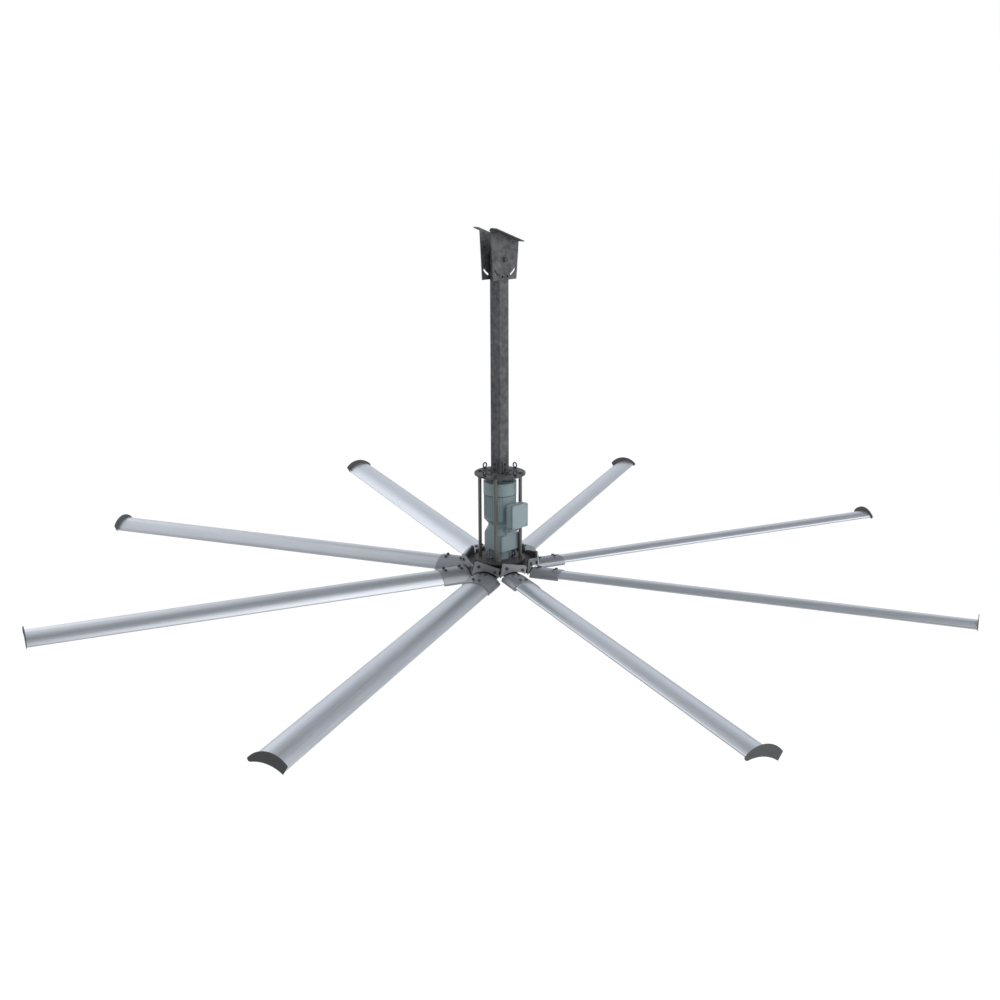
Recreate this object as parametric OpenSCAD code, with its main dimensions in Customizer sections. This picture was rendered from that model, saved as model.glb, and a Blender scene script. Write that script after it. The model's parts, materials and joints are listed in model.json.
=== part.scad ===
// Ceiling fan for barns: eight long blades under a geared motor, on a square drop tube.
// Millimetres, +Z up. The origin is on the fan's axis in the sloped plane where the
// two hanger plates are bolted to the roof beam, and the fan hangs below it.

/* [Fan] */
// Diameter over the end caps
fan_d = 5500; // [3600:10:7300]
// Number of blades
blade_count = 8; // [8:1:8]
// Angle of the blade chord, leading edge up
blade_pitch = 12.5; // [6:0.5:16]
// Angle of the first blade about the axis at rest
rest_turn = 24; // [0:1:44]
// From the beam plane down to the plane of the blades
drop_h = 1990; // [1700:10:3200]

/* [Blade section] */
// From the blade's axis to its tail edge
tail_x = 86; // [80:1:92]
// From the blade's axis to the centre of its round nose
nose_x = 72; // [66:1:78]
// Radius of the round nose
nose_r = 8; // [6:0.5:10]
// Depth of the nose centre and the tail edge below the blade's axis
edge_drop = 19; // [16:0.5:22]
// Height of the blade's upper surface above its axis
crown_h = 17.5; // [15:0.5:20]
// Depth of the blade's hollow under surface below its axis
hollow_h = 5; // [3:0.5:7]
// Thickness of the tail edge
tail_t = 9; // [7:0.5:11]
// Lean of the tail face
tail_lean = 19; // [5:1:30]
// Wall of the hollow blade
blade_wall = 2; // [1.5:0.1:3]
// Thickness of the end caps
cap_t = 4; // [3:0.5:8]
// How far the end cap stands above the blade
cap_rise = 29; // [15:1:35]
// How far the end cap stands out below and round the blade
cap_lip = 7; // [4:0.5:9]
// Length of the cap's plug inside the blade
plug_l = 30; // [15:1:60]

/* [Blade holder] */
// Radius where the holder starts
holder_r0 = 221; // [221:1:240]
// Radius where the holder ends
holder_r1 = 396; // [370:1:440]
// Radius where the blade starts, inside the holder
blade_r0 = 306; // [300:1:320]
// Wall of the holder
holder_wall = 5; // [4:0.5:7]
// Radius of the bead under the holder's nose
bead_r = 12; // [9:0.5:14]
// Radius of the inner pair of bolts
bolt_r_in = 256; // [246:1:270]
// Radius of the outer pair of bolts
bolt_r_out = 358; // [346:1:370]
// Half the chordwise distance of a pair of bolts
bolt_a = 18; // [14:1:20]
// From the blade's axis towards the nose, to the middle of a pair of bolts
bolt_mid = 18; // [10:1:20]
// Diameter of the holder's bolts
holder_bolt_d = 10; // [8:1:12]

/* [Hub] */
// Half the distance between two opposite face plates
face_r = 217; // [214:1:219]
// Thickness of the face plates
face_t = 8; // [6:1:10]
// Thickness of the hub pan and its tabs
pan_t = 8; // [6:1:9]
// Height of the underside of the hub pan above the plane of the blades
pan_z = 30; // [28:1:32]
// Radius of the hub's boss
boss_r = 62; // [56:1:70]
// Depth of the boss below the plane of the blades
boss_drop = 46; // [40:1:60]
// Width of the arms inside the holders
arm_w = 100; // [84:1:104]
// Diameter of the output shaft
shaft_d = 45; // [38:1:50]

/* [Cage] */
// Radius of the round plates at the top and bottom of the cage
cage_r = 153; // [148:1:165]
// Thickness of the cage plates
cage_t = 10; // [8:1:12]
// Height of the underside of the base plate above the plane of the blades
base_z = 50; // [49:1:56]
// Height of the underside of the top plate above the plane of the blades
top_z = 582; // [560:1:640]
// Radius of the circle of the four rods
rod_circle_r = 124; // [124:1:130]
// Diameter of the rods
rod_d = 21; // [16:1:22]
// Angle of the first rod about the axis
rod_turn = 32.6; // [30:0.1:35]
// Radius of the circle of the four eye bolts
eye_circle_r = 128; // [124:1:134]
// Inner diameter of the eyes
eye_d = 20; // [14:1:22]
// Diameter of the eye's bar
eye_bar_d = 8; // [5:0.5:9]

/* [Drop tube and hanger] */
// Side of the square drop tube
tube_w = 80; // [70:1:90]
// Wall of the drop tube
tube_t = 5; // [3:0.5:8]
// From the beam plane down to the pivot bolt
pivot_drop = 140; // [130:1:170]
// How far the tube stands above the pivot bolt
tube_over = 42; // [36:1:50]
// Diameter of the pivot bolt
pivot_d = 16; // [12:1:20]
// Thickness of the hanger plates
hanger_t = 6; // [5:1:8]
// Width of a hanger plate at its level lower edge
hanger_w_low = 188; // [180:1:220]
// Width of a hanger plate at its sloped upper edge
hanger_w_top = 224; // [220:1:260]
// From the beam plane down to the lower edge
hanger_h = 257; // [252:1:280]
// Slope of the roof beam
roof_slope = 20; // [10:1:25]
// Width of the flange that lies on the beam
flange_w = 52; // [46:1:70]
// Radius of the arc of lock slots about the pivot
lock_r = 100; // [96:1:102]
// Width of the lock slots and lock holes
lock_w = 13; // [9:0.5:14]
// Diameter of the beam bolt holes in the flanges
beam_hole_d = 14; // [10:1:18]
// Distance between the two beam bolt holes of a flange
beam_hole_gap = 150; // [120:1:170]

/* [Motor and gearbox] */
// Radius of the motor's housing
motor_r = 94; // [90:1:96]
// Height of the motor's housing
motor_h = 157; // [150:1:175]
// Height of the fan cowl above the housing
cowl_h = 68; // [60:1:74]
// Height of the taper below the housing
taper_h = 34; // [28:1:40]
// Radius of the neck between motor and gearbox
neck_r = 71; // [68:1:76]
// Width of the gearbox
box_w = 152; // [146:1:158]
// From the axis to the gearbox's front face
box_front = 92; // [91:1:93]
// From the axis to the gearbox's rear face
box_rear = 63; // [60:1:66]
// Height of the gearbox's block
box_h = 98; // [96:1:102]
// Height of the cast bell on the gearbox's block
bell_h = 40; // [30:1:50]
// Wall of the gearbox
box_wall = 7; // [5:0.5:7]
// Radius of the output neck
out_neck_r = 55; // [50:1:56]
// Height of the clear space between base plate and gearbox
lantern_h = 64; // [60:1:72]
// Width of the terminal box
term_w = 128; // [110:1:140]
// Height of the terminal box
term_h = 144; // [120:1:150]
// From the axis to the front of the terminal box's lid
term_front = 171; // [168:1:180]
// Depth of the terminal box
term_depth = 54; // [46:1:56]

/* [Gears] */
// Distance between the fan's axis and the layshaft
gear_a = 45; // [44:0.5:45.5]
// Teeth of the motor pinion
z_motor = 13; // [13:1:15]
// Teeth of the layshaft wheel
z_lay_wheel = 59; // [55:1:61]
// Teeth of the layshaft pinion
z_lay_pinion = 13; // [13:1:15]
// Teeth of the output wheel
z_out = 47; // [45:1:49]
// Play between the flanks of two teeth
flank_play = 0.3; // [0.2:0.05:0.5]
// Running clearance of shafts in their bearings, on the radius
run_gap = 0.05; // [0.02:0.01:0.1]
// Clearance of pieces that slide together at assembly
slip_gap = 0.3; // [0.2:0.05:0.5]

/* [Hidden] */
$fn = 96;
over = 2;
hex_fn = 6;
full = 360;
BLADES = [for (i = [1:blade_count]) str("blade_", i)];
HOLDERS = [for (i = [1:blade_count]) str("blade_holder_", i)];

// Derived heights, measured from the plane of the blades
tip_r = fan_d / 2;
base_top = base_z + cage_t;
box_z = base_top + lantern_h;
box_top = box_z + box_h;
neck_h = 59;
neck_top = box_top + neck_h;
motor_z = neck_top + taper_h;
cowl_z = motor_z + motor_h;
top_top = top_z + cage_t;
tube_len = drop_h - pivot_drop + tube_over - top_top;

// Puts children in the fan's own heights, from the plane of the blades
module on_axis() translate([0, 0, -drop_h]) children();

// Fasteners
head_af_share = 1.7;
head_h_share = 0.65;
washer_share = 2.1;
function across_corners(af) = af / cos(30);

module hex_prism(af, h) cylinder(d = across_corners(af), h = h, $fn = hex_fn);

module bolt(d, len) {
    cylinder(d = d, h = len);
    translate([0, 0, len]) hex_prism(d * head_af_share, d * head_h_share);
}

module nut(d) difference() {
    hex_prism(d * head_af_share, d * head_h_share);
    translate([0, 0, -over]) cylinder(d = d + 2 * run_gap, h = d * head_h_share + 2 * over);
}

// Circle through three points
function meet(p, q, s) =
    let (
        d = 2 * (p.x * (q.y - s.y) + q.x * (s.y - p.y) + s.x * (p.y - q.y)),
        pp = p * p,
        qq = q * q,
        ss = s * s
    )
    [(pp * (q.y - s.y) + qq * (s.y - p.y) + ss * (p.y - q.y)) / d,
     (pp * (s.x - q.x) + qq * (p.x - s.x) + ss * (q.x - p.x)) / d];

// Blade section: x runs from tail to nose, y is up, and the blade's axis is at zero
nose_top_a = 50;
nose_low_a = 243;
nose_c = [nose_x, -edge_drop];
tail_top = [-tail_x, -edge_drop + tail_t / 2];
tail_low = [-tail_x + tail_t * sin(tail_lean), -edge_drop - tail_t / 2];
function on_nose(a) = nose_c + nose_r * [cos(a), sin(a)];
upper_c = meet(tail_top, [0, crown_h], on_nose(nose_top_a));
upper_r = norm(tail_top - upper_c);
lower_c = meet(tail_low, [0, -hollow_h], on_nose(nose_low_a));
lower_r = norm(tail_low - lower_c);
reach = 3 * tail_x;

// Everything between the two rays that leave the nose and the leaning tail face
module section_clip(grow) difference() {
    polygon([
        nose_c,
        nose_c + reach * [cos(nose_top_a), sin(nose_top_a)],
        [-reach, reach],
        [-reach, -reach],
        nose_c + reach * [cos(nose_low_a), sin(nose_low_a)]
    ]);
    translate([-tail_x - grow / cos(tail_lean), -edge_drop + tail_t / 2])
        rotate(tail_lean)
        translate([-2 * reach, -reach])
        square(2 * reach);
}

// The closed section, grown all round by one distance
module section(grow) {
    difference() {
        intersection() {
            translate(upper_c) circle(r = upper_r + grow, $fn = 240);
            section_clip(grow);
        }
        translate(lower_c) circle(r = lower_r - grow, $fn = 240);
    }
    translate(nose_c) circle(r = nose_r + grow, $fn = 48);
}

// Places a blade's own frame: x outwards, y backwards, z square to the chord
module blade_frame(i) on_axis()
    rotate([0, 0, rest_turn + (i - 1) * full / blade_count])
    rotate([-blade_pitch, 0, 0])
    children();

// Extrudes a section along the blade from one radius to another
module along(r0, r1)
    translate([r1, 0, 0])
    rotate([90, 0, -90])
    linear_extrude(r1 - r0)
    children();

// Puts children on the two bolt places of a holder at one section x, axes square to the chord
bolt_xs = [bolt_mid - bolt_a, bolt_mid + bolt_a];
module at_holder_bolts(x)
    for (r = [bolt_r_in, bolt_r_out])
    translate([r, -x, 0])
    children();

// Heights of the flat pads under the holder's bolt heads and nuts
seat_r = holder_bolt_d * washer_share / 2;
seat_lift = 0.8;
function upper_y(x) = upper_c.y + sqrt((upper_r + holder_wall) ^ 2 - (x - upper_c.x) ^ 2);
function lower_y(x) = lower_c.y + sqrt((lower_r - holder_wall) ^ 2 - (x - lower_c.x) ^ 2);
function head_seat(x) = upper_y(max(x - seat_r, min(x + seat_r, upper_c.x))) + seat_lift;
function nut_seat(x) = min(lower_y(x - seat_r), lower_y(x + seat_r)) - seat_lift;

web_share = 0.33;

// Hollow aluminium blade with two inner webs
module blade(i) color([0.74, 0.77, 0.81]) blade_frame(i) difference() {
    along(blade_r0, tip_r - cap_t) difference() {
        section(0);
        difference() {
            section(-blade_wall);
            for (s = [-web_share, web_share])
                translate([s * tail_x - blade_wall / 2, -reach]) square([blade_wall, 2 * reach]);
        }
    }
    for (x = bolt_xs)
        translate([bolt_r_out, -x, -tail_x]) cylinder(d = holder_bolt_d + 2 * slip_gap, h = 2 * tail_x);
}

// Extruded sleeve that holds a blade, with a bead under its nose and flat pads for its bolts
bead_c = nose_c + [nose_r / 2, -nose_r];
module blade_holder(i) color([0.66, 0.69, 0.73]) blade_frame(i) difference() {
    union() {
        along(holder_r0, holder_r1) {
            section(holder_wall);
            translate(bead_c) circle(r = bead_r);
        }
        for (x = bolt_xs) at_holder_bolts(x)
            translate([0, 0, nut_seat(x)]) cylinder(r = seat_r, h = head_seat(x) - nut_seat(x));
    }
    along(holder_r0 - over, holder_r1 + over) section(slip_gap);
    for (x = bolt_xs) at_holder_bolts(x)
        translate([0, 0, -tail_x]) cylinder(d = holder_bolt_d + 2 * slip_gap, h = 2 * tail_x);
}

module holder_bolts() color([0.25, 0.26, 0.28])
    for (i = [1:blade_count])
    blade_frame(i)
    for (x = bolt_xs) at_holder_bolts(x) {
        nut_h = holder_bolt_d * head_h_share;
        translate([0, 0, nut_seat(x) - nut_h]) {
            bolt(holder_bolt_d, head_seat(x) - nut_seat(x) + nut_h);
            hex_prism(holder_bolt_d * head_af_share, nut_h);
        }
    }

// End cap: a flat crescent with a plug that fits the hollow blade
cap_nose_in = 2;
cap_nose_out = 9;
cap_nose_drop = 1;
cap_tail_out = 12;
cap_crown_back = 8;
cap_nose_r = nose_r + cap_lip - cap_nose_in;
cap_crown = crown_h + cap_rise;
cap_nose_c = nose_c + [cap_nose_out, -cap_nose_drop];
cap_tail_top = tail_top + [-cap_tail_out, cap_rise];
cap_tail_low = tail_low + [0, -cap_lip];
function on_cap_nose(a) = cap_nose_c + cap_nose_r * [cos(a), sin(a)];
cap_upper_c = meet(cap_tail_top, [-cap_crown_back, cap_crown], on_cap_nose(nose_top_a));
cap_upper_r = norm(cap_tail_top - cap_upper_c);
cap_lower_c = meet(cap_tail_low, [0, -hollow_h - cap_lip], on_cap_nose(nose_low_a));
cap_lower_r = norm(cap_tail_low - cap_lower_c);

module cap_outline() {
    difference() {
        intersection() {
            translate(cap_upper_c) circle(r = cap_upper_r, $fn = 240);
            polygon([
                cap_nose_c,
                cap_nose_c + reach * [cos(nose_top_a), sin(nose_top_a)],
                [cap_tail_top.x - (reach - cap_tail_top.y) * tan(tail_lean), reach],
                cap_tail_top,
                cap_tail_low,
                [cap_tail_low.x, -reach],
                cap_nose_c + reach * [cos(nose_low_a), sin(nose_low_a)]
            ]);
        }
        translate(cap_lower_c) circle(r = cap_lower_r, $fn = 240);
    }
    translate(cap_nose_c) circle(r = cap_nose_r, $fn = 48);
}

module end_caps() color([0.33, 0.34, 0.36])
    for (i = [1:blade_count])
    blade_frame(i) {
        along(tip_r - cap_t, tip_r) cap_outline();
        along(tip_r - cap_t - plug_l, tip_r - cap_t) intersection() {
            section(-blade_wall - slip_gap);
            translate([-web_share * tail_x + blade_wall / 2 + slip_gap, -reach])
                square([2 * web_share * tail_x - blade_wall - 2 * slip_gap, 2 * reach]);
        }
    }

// Cast spider: a boss with a key bore and one arm for each holder
arm_r1 = blade_r0 - slip_gap;
arm_root_w = 2 * boss_r * tan(full / blade_count / 2);
arm_ease = 8;
arm_full_r = arm_w / 2 / tan(full / blade_count / 2) + arm_ease;
module hub_spider() color([0.30, 0.31, 0.33]) {
    difference() {
        union() {
            on_axis() translate([0, 0, -boss_drop]) cylinder(r = boss_r, h = boss_drop + pan_z);
            for (i = [1:blade_count]) blade_frame(i) intersection() {
                along(shaft_d / 2, arm_r1) intersection() {
                    section(-slip_gap);
                    translate([-arm_w / 2, -reach]) square([arm_w, 2 * reach]);
                }
                translate([0, 0, -tail_x]) linear_extrude(2 * tail_x) polygon([
                    [shaft_d / 2, -arm_root_w / 2],
                    [boss_r, -arm_root_w / 2],
                    [arm_full_r, -arm_w / 2],
                    [arm_r1, -arm_w / 2],
                    [arm_r1, arm_w / 2],
                    [arm_full_r, arm_w / 2],
                    [boss_r, arm_root_w / 2],
                    [shaft_d / 2, arm_root_w / 2]
                ]);
            }
        }
        on_axis() translate([0, 0, -boss_drop - over])
            cylinder(r = shaft_d / 2 + run_gap, h = boss_drop + pan_z + 2 * over);
        for (i = [1:blade_count]) blade_frame(i) for (x = bolt_xs)
            translate([bolt_r_in, -x, -tail_x])
            cylinder(d = holder_bolt_d + 2 * slip_gap, h = 2 * tail_x);
        on_axis() pan_screw_places() translate([0, 0, pan_z - screw_len])
            cylinder(d = pan_screw_d, h = screw_len + over);
    }
}

// Pan: an octagonal floor on the boss, with one upright tab behind each face plate
pan_screw_d = 8;
pan_screw_r = 44;
pan_screw_n = 6;
screw_len = 20;
face_top = 72;
face_nose = 96;
face_tail = 64;
face_gap = 9;
arch_back = 6;
face_corner = 8;
face_bolt_d = 10;
face_bolt_y = 45;
face_bolt_tail = 40;
face_bolt_nose = 65;
tab_inset = 5;
pan_r = face_r - face_t - pan_t / 2;
module pan_screw_places()
    for (k = [0:pan_screw_n - 1])
    rotate([0, 0, k * full / pan_screw_n])
    translate([pan_screw_r, 0, 0])
    children();

// Upright plate with clipped upper corners, open in an arch over the holder
module face_outline(inset) difference() {
    polygon([
        [face_nose - inset, -edge_drop],
        [face_nose - inset, face_top - face_corner - inset],
        [face_nose - face_corner - inset, face_top - inset],
        [-face_tail + face_corner + inset, face_top - inset],
        [-face_tail + inset, face_top - face_corner - inset],
        [-face_tail + inset, -edge_drop]
    ]);
    translate(upper_c - [arch_back, 0]) circle(r = upper_r + holder_wall + face_gap, $fn = 240);
}

module at_face_bolts()
    for (a = [-face_bolt_nose, face_bolt_tail])
    translate([face_r - face_t - pan_t, a, face_bolt_y])
    rotate([0, 90, 0])
    children();

module hub_pan() color([0.36, 0.37, 0.38]) difference() {
    union() {
        on_axis() translate([0, 0, pan_z])
            rotate([0, 0, rest_turn + full / blade_count / 2])
            cylinder(r = pan_r / cos(full / blade_count / 2), h = pan_t, $fn = blade_count);
        for (i = [1:blade_count]) blade_frame(i)
            along(face_r - face_t - pan_t, face_r - face_t) face_outline(tab_inset);
    }
    on_axis() translate([0, 0, pan_z - over]) cylinder(r = shaft_d / 2 + over, h = pan_t + 2 * over);
    on_axis() pan_screw_places() translate([0, 0, pan_z - over])
        cylinder(d = pan_screw_d + 2 * slip_gap, h = pan_t + 2 * over);
    for (i = [1:blade_count]) blade_frame(i) at_face_bolts()
        translate([0, 0, -over]) cylinder(d = face_bolt_d + 2 * slip_gap, h = pan_t + 2 * over);
}

module face_plates() color([0.42, 0.43, 0.44])
    for (i = [1:blade_count])
    blade_frame(i) difference() {
        along(face_r - face_t, face_r) face_outline(0);
        at_face_bolts() cylinder(d = face_bolt_d + 2 * slip_gap, h = pan_t + face_t + over);
    }

module face_bolts() color([0.25, 0.26, 0.28]) {
    for (i = [1:blade_count]) blade_frame(i) at_face_bolts()
        bolt(face_bolt_d, pan_t + face_t);
    on_axis() pan_screw_places() translate([0, 0, pan_z - screw_len + over])
        bolt(pan_screw_d, pan_t + screw_len - over);
}

// Output shaft, its wheel and the screw that holds the hub on it
m_fast = 2 * gear_a / (z_motor + z_lay_wheel);
m_slow = 2 * gear_a / (z_lay_pinion + z_out);
slow_h = 22;
fast_h = 15;
floor_t = 12;
wheel_lift = 6;
wheel_space = 8;
pinion_over = 1;
shaft_over = 2;
journal_step = 10;
slow_z = box_z + floor_t + wheel_lift;
fast_z = slow_z + slow_h + wheel_space;
out_top = slow_z + slow_h + shaft_over;
out_journal_d = shaft_d - journal_step;
end_screw_d = 12;
end_screw_l = 30;
end_screw_bore = 36;
end_washer_t = 6;
end_washer_d = 76;
module output_shaft() color([0.55, 0.56, 0.58]) on_axis() difference() {
    union() {
        translate([0, 0, -boss_drop]) cylinder(d = shaft_d, h = boss_drop + box_z);
        translate([0, 0, box_z - over]) cylinder(d = out_journal_d, h = out_top - box_z + over);
    }
    translate([0, 0, -boss_drop - over]) cylinder(d = end_screw_d, h = end_screw_bore + over);
}

module shaft_end_bolt() color([0.25, 0.26, 0.28]) on_axis() translate([0, 0, -boss_drop - end_washer_t]) {
    cylinder(d = end_washer_d, h = end_washer_t);
    rotate([180, 0, 0]) hex_prism(end_screw_d * head_af_share, end_screw_d * head_h_share);
    cylinder(d = end_screw_d - 2 * run_gap, h = end_washer_t + end_screw_l);
}

// Involute spur gears, drawn as one closed outline
pressure_a = 20;
flank_n = 4;
root_share = 0.8;
addendum_share = 1;
dedendum_share = 1.25;
fillet_share = 0.1;
rim_share = 4;
web_cut_share = 0.25;
hub_wall = 7;
function inv(a) = tan(a) * 180 / PI - a;
function half_tooth(z, m, r) =
    let (
        base = m * z * cos(pressure_a) / 2,
        a = r > base ? acos(base / r) : 0,
        play = flank_play / (m * z) * 180 / PI
    )
    90 / z + inv(pressure_a) - inv(a) - play;
function gear_points(z, m) =
    let (
        root = m * (z / 2 - dedendum_share),
        tip = m * (z / 2 + addendum_share),
        base = m * z * cos(pressure_a) / 2,
        start = max(root + fillet_share * m, base)
    )
    [for (k = [0:z - 1]) each
        let (t = k * full / z, foot = half_tooth(z, m, start) * root_share)
        concat(
            [root * [cos(t - foot), sin(t - foot)]],
            [for (j = [0:flank_n - 1])
                let (r = start + (tip - start) * j / (flank_n - 1), h = half_tooth(z, m, r))
                r * [cos(t - h), sin(t - h)]],
            [for (j = [flank_n - 1:-1:0])
                let (r = start + (tip - start) * j / (flank_n - 1), h = half_tooth(z, m, r))
                r * [cos(t + h), sin(t + h)]],
            [root * [cos(t + foot), sin(t + foot)]]
        )];
module gear(z, m, h) linear_extrude(h) polygon(gear_points(z, m));

// A wheel whose toothed rim is carried by a thinner web
module gear_wheel(z, m, h, bore_d) difference() {
    cut = h * web_cut_share;
    gear(z, m, h);
    translate([0, 0, -over]) cylinder(d = bore_d, h = h + 2 * over);
    for (s = [-over, h - cut])
        translate([0, 0, s]) difference() {
            cylinder(r = m * (z / 2 - rim_share), h = cut + over);
            cylinder(d = bore_d + 2 * hub_wall, h = cut + over);
        }
}

// The driving teeth point to the layshaft, whose own gears have a gap there
lay_turn = -90;
module output_wheel() color([0.60, 0.60, 0.58]) on_axis()
    translate([0, 0, slow_z])
    rotate([0, 0, lay_turn])
    gear_wheel(z_out, m_slow, slow_h, out_journal_d + 2 * run_gap);

// Layshaft: a pinion cut on it drives the output wheel, its wheel is driven by the motor
lay_d = 15;
lay_bearing_d = 32;
lay_bearing_w = 9;
lay_lift = 2;
lay_low = box_z + floor_t - lay_bearing_w;
lay_high_z = fast_z + fast_h + lay_lift;
lay_top = lay_high_z + lay_bearing_w;
module at_layshaft() on_axis() translate([0, -gear_a, 0]) children();
module layshaft() color([0.55, 0.56, 0.58]) at_layshaft() {
    translate([0, 0, lay_low]) cylinder(d = lay_d, h = lay_top - lay_low);
    translate([0, 0, slow_z - pinion_over])
        rotate([0, 0, -lay_turn + 180 / z_lay_pinion])
        gear(z_lay_pinion, m_slow, slow_h + 2 * pinion_over);
}

module layshaft_wheel() color([0.60, 0.60, 0.58]) at_layshaft()
    translate([0, 0, fast_z])
    rotate([0, 0, -lay_turn + 180 / z_lay_wheel])
    gear_wheel(z_lay_wheel, m_fast, fast_h, lay_d + 2 * run_gap);

// Ball bearing drawn as two rings with a shielded groove between them
groove_share = 0.125;
ring_share = 0.25;
module bearing(bore_d, outer_d, w) difference() {
    ring = (outer_d - bore_d) * ring_share;
    groove = w * groove_share;
    cylinder(d = outer_d, h = w);
    translate([0, 0, -over]) cylinder(d = bore_d + 2 * run_gap, h = w + 2 * over);
    for (s = [-over, w - groove])
        translate([0, 0, s]) difference() {
            cylinder(d = outer_d - ring, h = groove + over);
            cylinder(d = bore_d + ring, h = groove + over);
        }
}
out_bearing_d = 80;
out_bearing_w = 16;
out_bearing_lift = 18;
out_low_z = base_top + out_bearing_lift;
out_high_z = box_z - out_bearing_w;
module output_bearings() color([0.70, 0.71, 0.73]) on_axis()
    for (z = [out_low_z, out_high_z])
    translate([0, 0, z])
    bearing(shaft_d, out_bearing_d, out_bearing_w);

module layshaft_bearings() color([0.70, 0.71, 0.73]) at_layshaft()
    for (z = [lay_low, lay_high_z])
    translate([0, 0, z])
    bearing(lay_d, lay_bearing_d, lay_bearing_w);

seal_w = 10;
seal_d = 76;
seal_space = 1;
seal_z = out_low_z - seal_w - seal_space;
module output_seal() color([0.12, 0.12, 0.12]) on_axis() translate([0, 0, seal_z]) difference() {
    cylinder(d = seal_d, h = seal_w);
    translate([0, 0, -over]) cylinder(d = shaft_d + 2 * run_gap, h = seal_w + 2 * over);
}

// Gearbox: an upper casting and a lower cover with the output neck
box_round = 10;
module box_outline(grow)
    round_block(box_w / 2 + grow, box_front + grow, box_rear + grow, box_round + grow);
module round_block(half_w, front, rear, r) {
    square_from(-half_w + r, half_w - r, -front, rear);
    square_from(-half_w, half_w, -front + r, rear - r);
    for (x = [-half_w + r, half_w - r], y = [-front + r, rear - r])
        translate([x, y]) circle(r = r);
}
module square_from(x0, x1, y0, y1) translate([x0, y0]) square([x1 - x0, y1 - y0]);

motor_bearing_d = 52;
motor_bearing_w = 15;
motor_shaft_d = 25;
bearing_lip = 4;
bearing_sink = 1;
bell_out = 5;
bell_step = 1;
shaft_room = 4;
input_bearing_z = neck_top - motor_bearing_w - bearing_sink;
cavity_top = lay_high_z - lay_lift / 2;
module gearbox_housing() color([0.50, 0.58, 0.61]) on_axis() difference() {
    union() {
        translate([0, 0, box_z + floor_t]) linear_extrude(box_h - floor_t) box_outline(0);
        translate([0, 0, box_top - over]) cylinder(r = neck_r, h = neck_h + over);
        intersection() {
            translate([0, 0, box_top - over])
                cylinder(r1 = box_front + bell_out, r2 = neck_r, h = bell_h + over);
            translate([0, 0, box_z + floor_t]) linear_extrude(box_h + bell_h) box_outline(-bell_step);
        }
    }
    translate([0, 0, box_z + floor_t - over])
        linear_extrude(cavity_top - box_z - floor_t + over)
        box_outline(-box_wall);
    translate([0, 0, box_z + floor_t]) cylinder(d = motor_bearing_d - 2 * bearing_lip, h = box_h + neck_h);
    translate([0, 0, input_bearing_z]) cylinder(d = motor_bearing_d, h = neck_h);
    translate([0, -gear_a, cavity_top - over])
        cylinder(d = lay_bearing_d, h = lay_top - cavity_top + over + slip_gap);
}

foot_bolt_d = 8;
foot_x = 61;
foot_rear = 36;
foot_front = 45;
foot_bolt_in = 8;
neck_recess = 2;
module at_feet()
    for (x = [-foot_x, foot_x], y = [-foot_front, foot_rear])
    translate([x, y, 0])
    children();

module gearbox_cover() color([0.50, 0.58, 0.61]) on_axis() difference() {
    union() {
        translate([0, 0, box_z]) linear_extrude(floor_t) box_outline(0);
        translate([0, 0, base_z + neck_recess])
            cylinder(r = out_neck_r, h = box_z - base_z - neck_recess + over);
    }
    at_feet() translate([0, 0, box_z - over]) cylinder(d = foot_bolt_d, h = foot_bolt_in + over);
    translate([0, 0, base_z]) cylinder(d = shaft_d + 2 * shaft_room, h = box_h);
    translate([0, 0, seal_z]) cylinder(d = seal_d, h = seal_w + over);
    translate([0, 0, out_low_z]) cylinder(d = out_bearing_d, h = box_z - out_low_z);
    translate([0, -gear_a, lay_low]) cylinder(d = lay_bearing_d, h = floor_t);
}

// Motor housing: a tube with cooling ribs, and a neck that carries the terminal box
core_h = 100;
core_r = 42;
core_step = 6;
air_gap = 0.5;
stator_r = 78;
winding_h = 18;
winding_in = 8;
core_z = motor_z + (motor_h - core_h) / 2;
rib_n = 36;
rib_h = 2.5;
rib_w = 3;
rib_end = 10;
rib_free_a = 60;
term_wall = 4;
term_neck_w = 70;
term_neck_h = 80;
term_neck_z = 10;
wire_hole_d = 35;
term_back = term_front - term_depth;
term_neck_mid = motor_z + term_neck_z + term_neck_h / 2;
module motor_housing() color([0.52, 0.60, 0.63]) on_axis() difference() {
    union() {
        translate([0, 0, motor_z]) cylinder(r = motor_r, h = motor_h);
        for (k = [0:rib_n - 1])
            let (a = -90 + (k + 0.5) * full / rib_n)
            if (a > -90 + rib_free_a / 2 && a < 270 - rib_free_a / 2)
            rotate([0, 0, a])
            translate([motor_r - over, -rib_w / 2, motor_z + rib_end])
            cube([rib_h + over, rib_w, motor_h - 2 * rib_end]);
        translate([-term_neck_w / 2, -term_back, motor_z + term_neck_z])
            cube([term_neck_w, term_back - stator_r, term_neck_h]);
    }
    translate([0, 0, motor_z - over]) cylinder(r = stator_r, h = motor_h + 2 * over);
    translate([0, -term_back - over, term_neck_mid]) rotate([-90, 0, 0])
        cylinder(d = wire_hole_d, h = term_back - stator_r);
}

flange_rim = 6;
flange_bowl = 14;
module motor_flange() color([0.50, 0.58, 0.61]) on_axis() translate([0, 0, neck_top]) difference() {
    union() {
        cylinder(r1 = neck_r, r2 = motor_r + rib_h, h = taper_h - flange_rim);
        translate([0, 0, taper_h - flange_rim]) cylinder(r = motor_r + rib_h, h = flange_rim);
    }
    translate([0, 0, -over]) cylinder(d = motor_shaft_d + 2 * shaft_room, h = taper_h + 2 * over);
    translate([0, 0, taper_h - flange_bowl]) cylinder(r = stator_r - winding_in, h = taper_h);
}

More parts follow.
